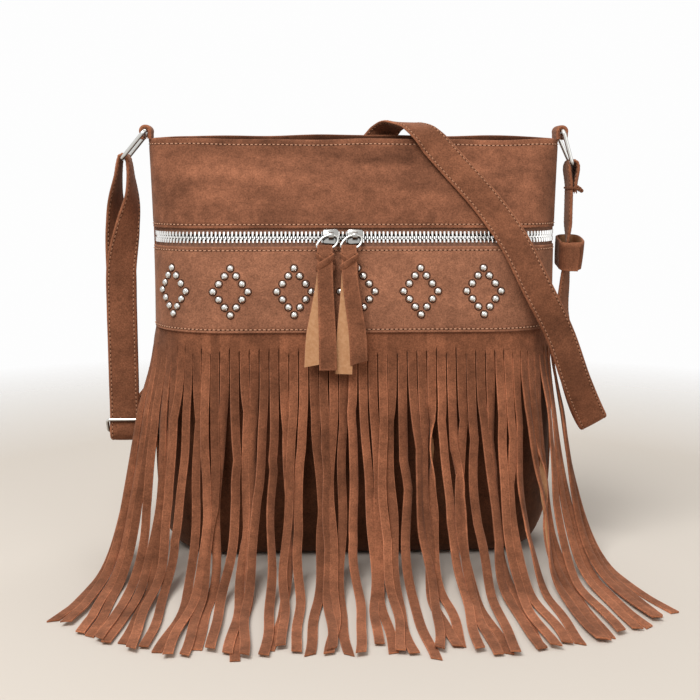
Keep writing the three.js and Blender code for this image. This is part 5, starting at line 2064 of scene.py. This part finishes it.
        def hang(side: int) -> list[Station]:
            """Stations of one of the two hanging layers, from the ring down.

            Args:
                side: 1 for the first layer, -1 for the second.

            Returns:
                The stations.
            """
            stations = []
            for share, turn, apart in rows:
                a = math.radians(turn)
                out = side * np.array([math.cos(a), -math.sin(a), 0.0])
                ease = float(smoothstep(share, 0.0, 0.5))
                x = bar[0] + (self.slide_bar[0] - bar[0]) * ease
                z = bar[2] + (self.slide_front[2] - bar[2]) * share
                stations.append((tuple(np.array([x, middle * ease, z]) + apart * out), tuple(out)))
            return stations

        over = self._arc(bar, self.bend, (1, 0, 0), (0, 0, 1), [30, 60, 90, 120, 150])
        sewn = self._arc(self.slide_bar, self.slide_bend, (0, 1, 0), (0, 0, -1), [-25, 15, 55, 95, 135, 175])
        return around + Route.of(hang(1)[::-1]) + over + Route.of(hang(-1)) + sewn

    def _profile(self) -> Profile:
        """Section of the strap, pulled in along its stitch rows."""
        u = np.array([-1.0, -0.93, -0.84, -0.75, -0.4, 0.0, 0.4, 0.75, 0.84, 0.93, 1.0])
        relief = np.array([-0.25, 0.0, -0.3, 0.0, 0.12, 0.16, 0.12, 0.0, -0.3, 0.0, -0.25])
        return Profile.formed(self.width, self.thickness, u, relief, -relief)

    def _part(self, name: str, route: Route) -> tuple[Piece, list[Piece], float]:
        """One part of the strap.

        Args:
            name: name of the part.
            route: its middle line.

        Returns:
            The part, its stitch rows on both faces, and its length in metres.
        """
        fine = route.smoothed(2.4)
        piece = MeshData.ribbon(fine, self._profile()).build(name, [self.palette.strap])
        offset = self.width / 2.0 - self.stitch_edge
        lift = self.thickness / 2.0 - self.stitch_sunk
        lines = [fine.shifted(side * offset, lift) for side in (-1, 1)]
        for line in [fine.shifted(side * offset, -lift) for side in (-1, 1)]:
            lines.append(Route(line.at, -line.out))
        rows = StitchRow(self.palette.strap_thread, self.palette.hole).build(name + "_stitches", lines)
        return piece, rows, float(fine.runs[-1]) * METRES

    def _lace(self) -> Piece:
        """Lace tied round both layers under the right ring, with its knot at the front.

        Returns:
            The piece.
        """
        foot = self.rings.bar(Hand.RIGHT) - (0.0, 0.0, self.lace_drop)
        wide = (self.layers_apart + self.thickness + self.lace) / 2.0
        deep = (self.width + self.lace) / 2.0
        outline = rounded_outline(wide, deep, 1.2, 4)
        loops = []
        for rise in (-0.45, 0.45):
            points = np.column_stack([outline, np.full(len(outline), rise * self.lace)]) + foot
            loops.append(MeshData.wire(points, np.array(UP), self.lace / 2.0, 8))
        knots = (
            (wide - 0.7, -deep - 0.4, 0.2, 1.0),
            (wide + 1.0, -deep, -0.8, 0.95),
            (wide + 2.6, -deep + 0.4, -1.9, 0.8),
        )
        for x, y, z, radius in knots:
            ring = radius * rounded_outline(1.0, 1.0, 0.99, 5)
            points = np.column_stack([ring[:, 0], np.zeros(len(ring)), ring[:, 1]]) + foot + (x, y, z)
            loops.append(MeshData.wire(points, np.array([0.0, 1.0, 0.0]), 0.95 * radius, 8))
        data, *others = loops
        for other in others:
            data = data.joined(other)
        # the wire mark paints shade on the lace's sides turned from a fixed light
        piece = data.build("strap_lace", [self.palette.strap])
        return piece

    def _keeper(self) -> Piece:
        """Leather strip wound round the strap under the right ring, with its end lapped over the front.

        Returns:
            The piece.
        """
        centre = np.array([self.rings.bar(Hand.RIGHT)[0] - self.layers_apart / 2.0, 0.0, self.keeper_middle])
        wide, deep = self.keeper_half_depth, self.width / 2.0 + LAYER_GAP
        steps = 6
        corners = np.split(rounded_outline(wide, deep, self.keeper_corner, steps), 4)
        angles = np.radians(np.linspace(0.0, 90.0, steps + 1))
        middle = self.keeper_leather / 2.0
        stations = [((-0.3 * wide, -deep - middle), (0.0, -1.0))]
        for corner, start in ((3, 270), (0, 0), (1, 90), (2, 180)):
            for k, (x, y) in enumerate(corners[corner]):
                a = angles[k] + math.radians(start)
                out = np.array([math.cos(a), math.sin(a)])
                lap = self.keeper_lap * k / steps if corner == 2 else 0.0
                stations.append((tuple(np.array([x, y]) + out * (middle + lap)), tuple(out)))
        for share, lift in ((0.1, 0.0), (0.62, 0.5)):
            stations.append(((share * wide, -deep - middle - self.keeper_lap - lift), (0.0, -1.0)))
        route = Route.of([((*at, 0.0), (*out, 0.0)) for at, out in stations]).smoothed(1.0)
        profile = Profile.flat(self.keeper_height, self.keeper_leather, 8, 0.25)
        data = MeshData.ribbon(Route(route.at + centre, route.out), profile)
        rise = (data.points[:, 2] - self.keeper_middle) / self.keeper_height
        data.points[:, 0] = centre[0] + (data.points[:, 0] - centre[0]) * (1.0 + self.keeper_taper * rise)
        data.points[:, 0] += self.keeper_shift * (1.0 + rise)
        data.points[:, 2] += self.keeper_tilt * data.points[:, 1]
        piece = data.build("strap_keeper_leather", self.palette.sheet(self.palette.strap))
        enter(piece, "bag", Slot.SUEDE, "strap_keeper")
        return piece

    def _slide(self) -> Piece:
        """Wire slide at the lower end of the left loop.

        Returns:
            The piece.
        """
        rise = self.slide_front - self.slide_bar
        half_width = self.width / 2.0 + 0.5 + self.slide_wire
        outline = rounded_outline(half_width, float(np.linalg.norm(rise)) / 2.0, self.slide_corner, 8)
        up = unit(rise)
        points = self.slide_bar + rise / 2.0 + np.outer(outline[:, 1], up)
        points[:, 0] += outline[:, 0]
        data = MeshData.wire(points, unit(np.cross((1.0, 0.0, 0.0), up)), self.slide_wire)
        return enter(data.build("strap_slide_wire", [self.palette.nickel]), "bag", Slot.NICKEL, "strap_slide")

    def build(self) -> list[Piece]:
        """Strap, stitches, keeper and slide.

        Returns:
            The pieces.
        """
        right, right_rows, right_length = self._part("strap_right_end", self.right_route())
        middle, middle_rows, middle_length = self._part("strap_middle", self.middle_route())
        left, left_rows, left_length = self._part("strap_left_loop", self.left_route())
        right_rows.append(self._lace())
        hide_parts("shoulder_strap")
        for piece in (middle, *middle_rows):
            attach(piece, "bag")
        for hand, low, pieces in zip(Hand, self.blend_from, ((left, *left_rows), (right, *right_rows))):
            bar = self.rings.bar(hand)
            for piece in pieces:
                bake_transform(piece)
        return [right, *right_rows, middle, *middle_rows, left, *left_rows, self._keeper(), self._slide()]


@dataclass
class BodyStitches:
    """Stitch rows of the front and of the rim."""

    shape: BagShape
    palette: Palette
    reach: float = 0.975
    sunk: float = 0.12
    facing_face: float = 2.4

    def build(self) -> list[Piece]:
        """All rows, with the painted shade of their needle holes.

        Returns:
            Stitches and the painted hole shade.
        """
        s = self.shape
        heights = (s.rim_stitch, s.yoke_stitch, *s.band_stitches)
        lines = [s.line(Side.FRONT, z, self.reach, self.sunk) for z in heights]
        lines.append(s.line(Side.BACK, s.rim_stitch, self.reach, self.sunk))
        for side in Side:
            inside = s.line(side, s.rim_stitch, self.reach, self.facing_face)
            lines.append(Route(inside.at, -inside.out))
        pieces = StitchRow(self.palette.thread, self.palette.hole).build("body_stitches", lines)
        for piece in pieces:
            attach(piece, "bag")
        return pieces


@dataclass
class Studio:
    """Floor, lights and camera, in metres and degrees."""

    distance: float = 0.9
    height: float = 0.28
    aside: float = -0.0034
    pitch: float = 8.44
    lens: float = 61.8
    azimuth: float = -2.25
    floor_radius: float = 1.2
    floor_fade: Pair = (0.42, 0.95)
    floor_colour: Colour = (0.62, 0.565, 0.5)
    aim: Triple = (0.0, -0.03, 0.15)
    soft_light: float = 0.36

    def _floor(self) -> None:
        """Pale floor that fades to white away from the bag."""
        bpy.ops.mesh.primitive_circle_add(vertices=96, radius=self.floor_radius, fill_type="NGON")
        floor = bpy.context.active_object
        floor.name = "floor"
        material, graph, shader, place = fresh_material("floor_paint")
        distance = graph.add("ShaderNodeVectorMath", {0: place}, operation="LENGTH").outputs["Value"]
        look = {"Base Color": (*self.floor_colour, 1.0), "Roughness": 0.8, "Specular IOR Level": 0.1}
        graph.fill(shader, look)
        clear = graph.add("ShaderNodeBsdfTransparent").outputs[0]
        faded = {0: graph.spread(distance, *self.floor_fade), 1: shader.outputs[0], 2: clear}
        mixed = graph.add("ShaderNodeMixShader", faded).outputs[0]
        graph.fill(graph.tree.nodes["Material Output"], {"Surface": mixed})
        floor.data.materials.append(material)

    def _light(self, name: str, place: Vector, size: float, power: float) -> None:
        """Square area light that looks at the bag.

        Args:
            name: name of the light.
            place: where it stands.
            size: length of its side.
            power: power in watts.
        """
        data = bpy.data.lights.new(name, "AREA")
        data.size = size
        data.energy = power
        light = linked(name, data)
        aim = np.array(self.aim) - np.array(place)
        light.location = place
        light.rotation_euler = (math.acos(-aim[2] / np.linalg.norm(aim)), 0.0, math.atan2(-aim[0], aim[1]))

    def _world(self) -> None:
        """Even soft light, with a white background for the camera and for mirrors."""
        world = bpy.data.worlds.new("studio")
        world.use_nodes = True
        graph = Graph(world.node_tree)
        soft = graph.tree.nodes["Background"]
        graph.fill(soft, {"Color": (1.0, 0.99, 0.98, 1.0), "Strength": self.soft_light})
        white = graph.add("ShaderNodeBackground", {"Color": (0.985, 0.985, 0.985, 1.0), "Strength": 1.0})
        rays = graph.add("ShaderNodeLightPath").outputs
        seen = rays["Is Camera Ray"]
        for kind in ("Is Glossy Ray", "Is Transmission Ray"):
            seen = graph.math("MAXIMUM", seen, rays[kind])
        mixed = graph.add("ShaderNodeMixShader", {0: seen, 1: soft.outputs[0], 2: white.outputs[0]})
        graph.fill(graph.tree.nodes["World Output"], {"Surface": mixed.outputs[0]})
        bpy.context.scene.world = world

    def _camera(self) -> None:
        """Camera where the photograph was taken from."""
        data = bpy.data.cameras.new("camera")
        data.lens = self.lens
        camera = linked("camera", data)
        turn = math.radians(self.azimuth)
        x = self.distance * math.sin(turn) + self.aside * math.cos(turn)
        camera.location = (x, -self.distance * math.cos(turn) + self.aside * math.sin(turn), self.height)
        camera.rotation_euler = (math.radians(90.0 - self.pitch), 0.0, turn)
        bpy.context.scene.camera = camera

    def build(self) -> None:
        """Everything around the bag."""
        self._floor()
        self._light("key", (-0.5, -0.8, 1.5), 0.9, 26.0)
        self._light("fill", (1.1, -1.0, 0.7), 1.2, 4.0)
        self._light("back", (0.2, 1.0, 1.3), 1.2, 8.0)
        self._world()
        self._camera()
        bpy.context.scene.view_settings.view_transform = "Standard"


def main() -> None:
    """Builds the bag and the studio, and reports the pieces."""
    logging.basicConfig(level=logging.INFO, format="%(message)s")
    shape = BagShape()
    palette = Palette()
    shell = BodyShell(shape, palette)
    front_zip = Zip(shape, palette)
    rings = RingSet(shape, palette)
    parts = [
        shell,
        StudBand(shell, palette),
        Fringe(shape, palette),
        front_zip,
        Tassel(front_zip, palette, Hand.LEFT, 145.0, 142.0, (-0.25, 0.0)),
        Tassel(front_zip, palette, Hand.RIGHT, 139.0, 147.0, (0.0, 0.25)),
        rings,
        Strap(shape, palette, rings),
        BodyStitches(shape, palette),
    ]
    for part in parts:
        for piece in part.build():
            LOG.info("%s: %d faces", piece.name, len(piece.data.polygons))
    Studio().build()


if __name__ == "__main__":
    main()
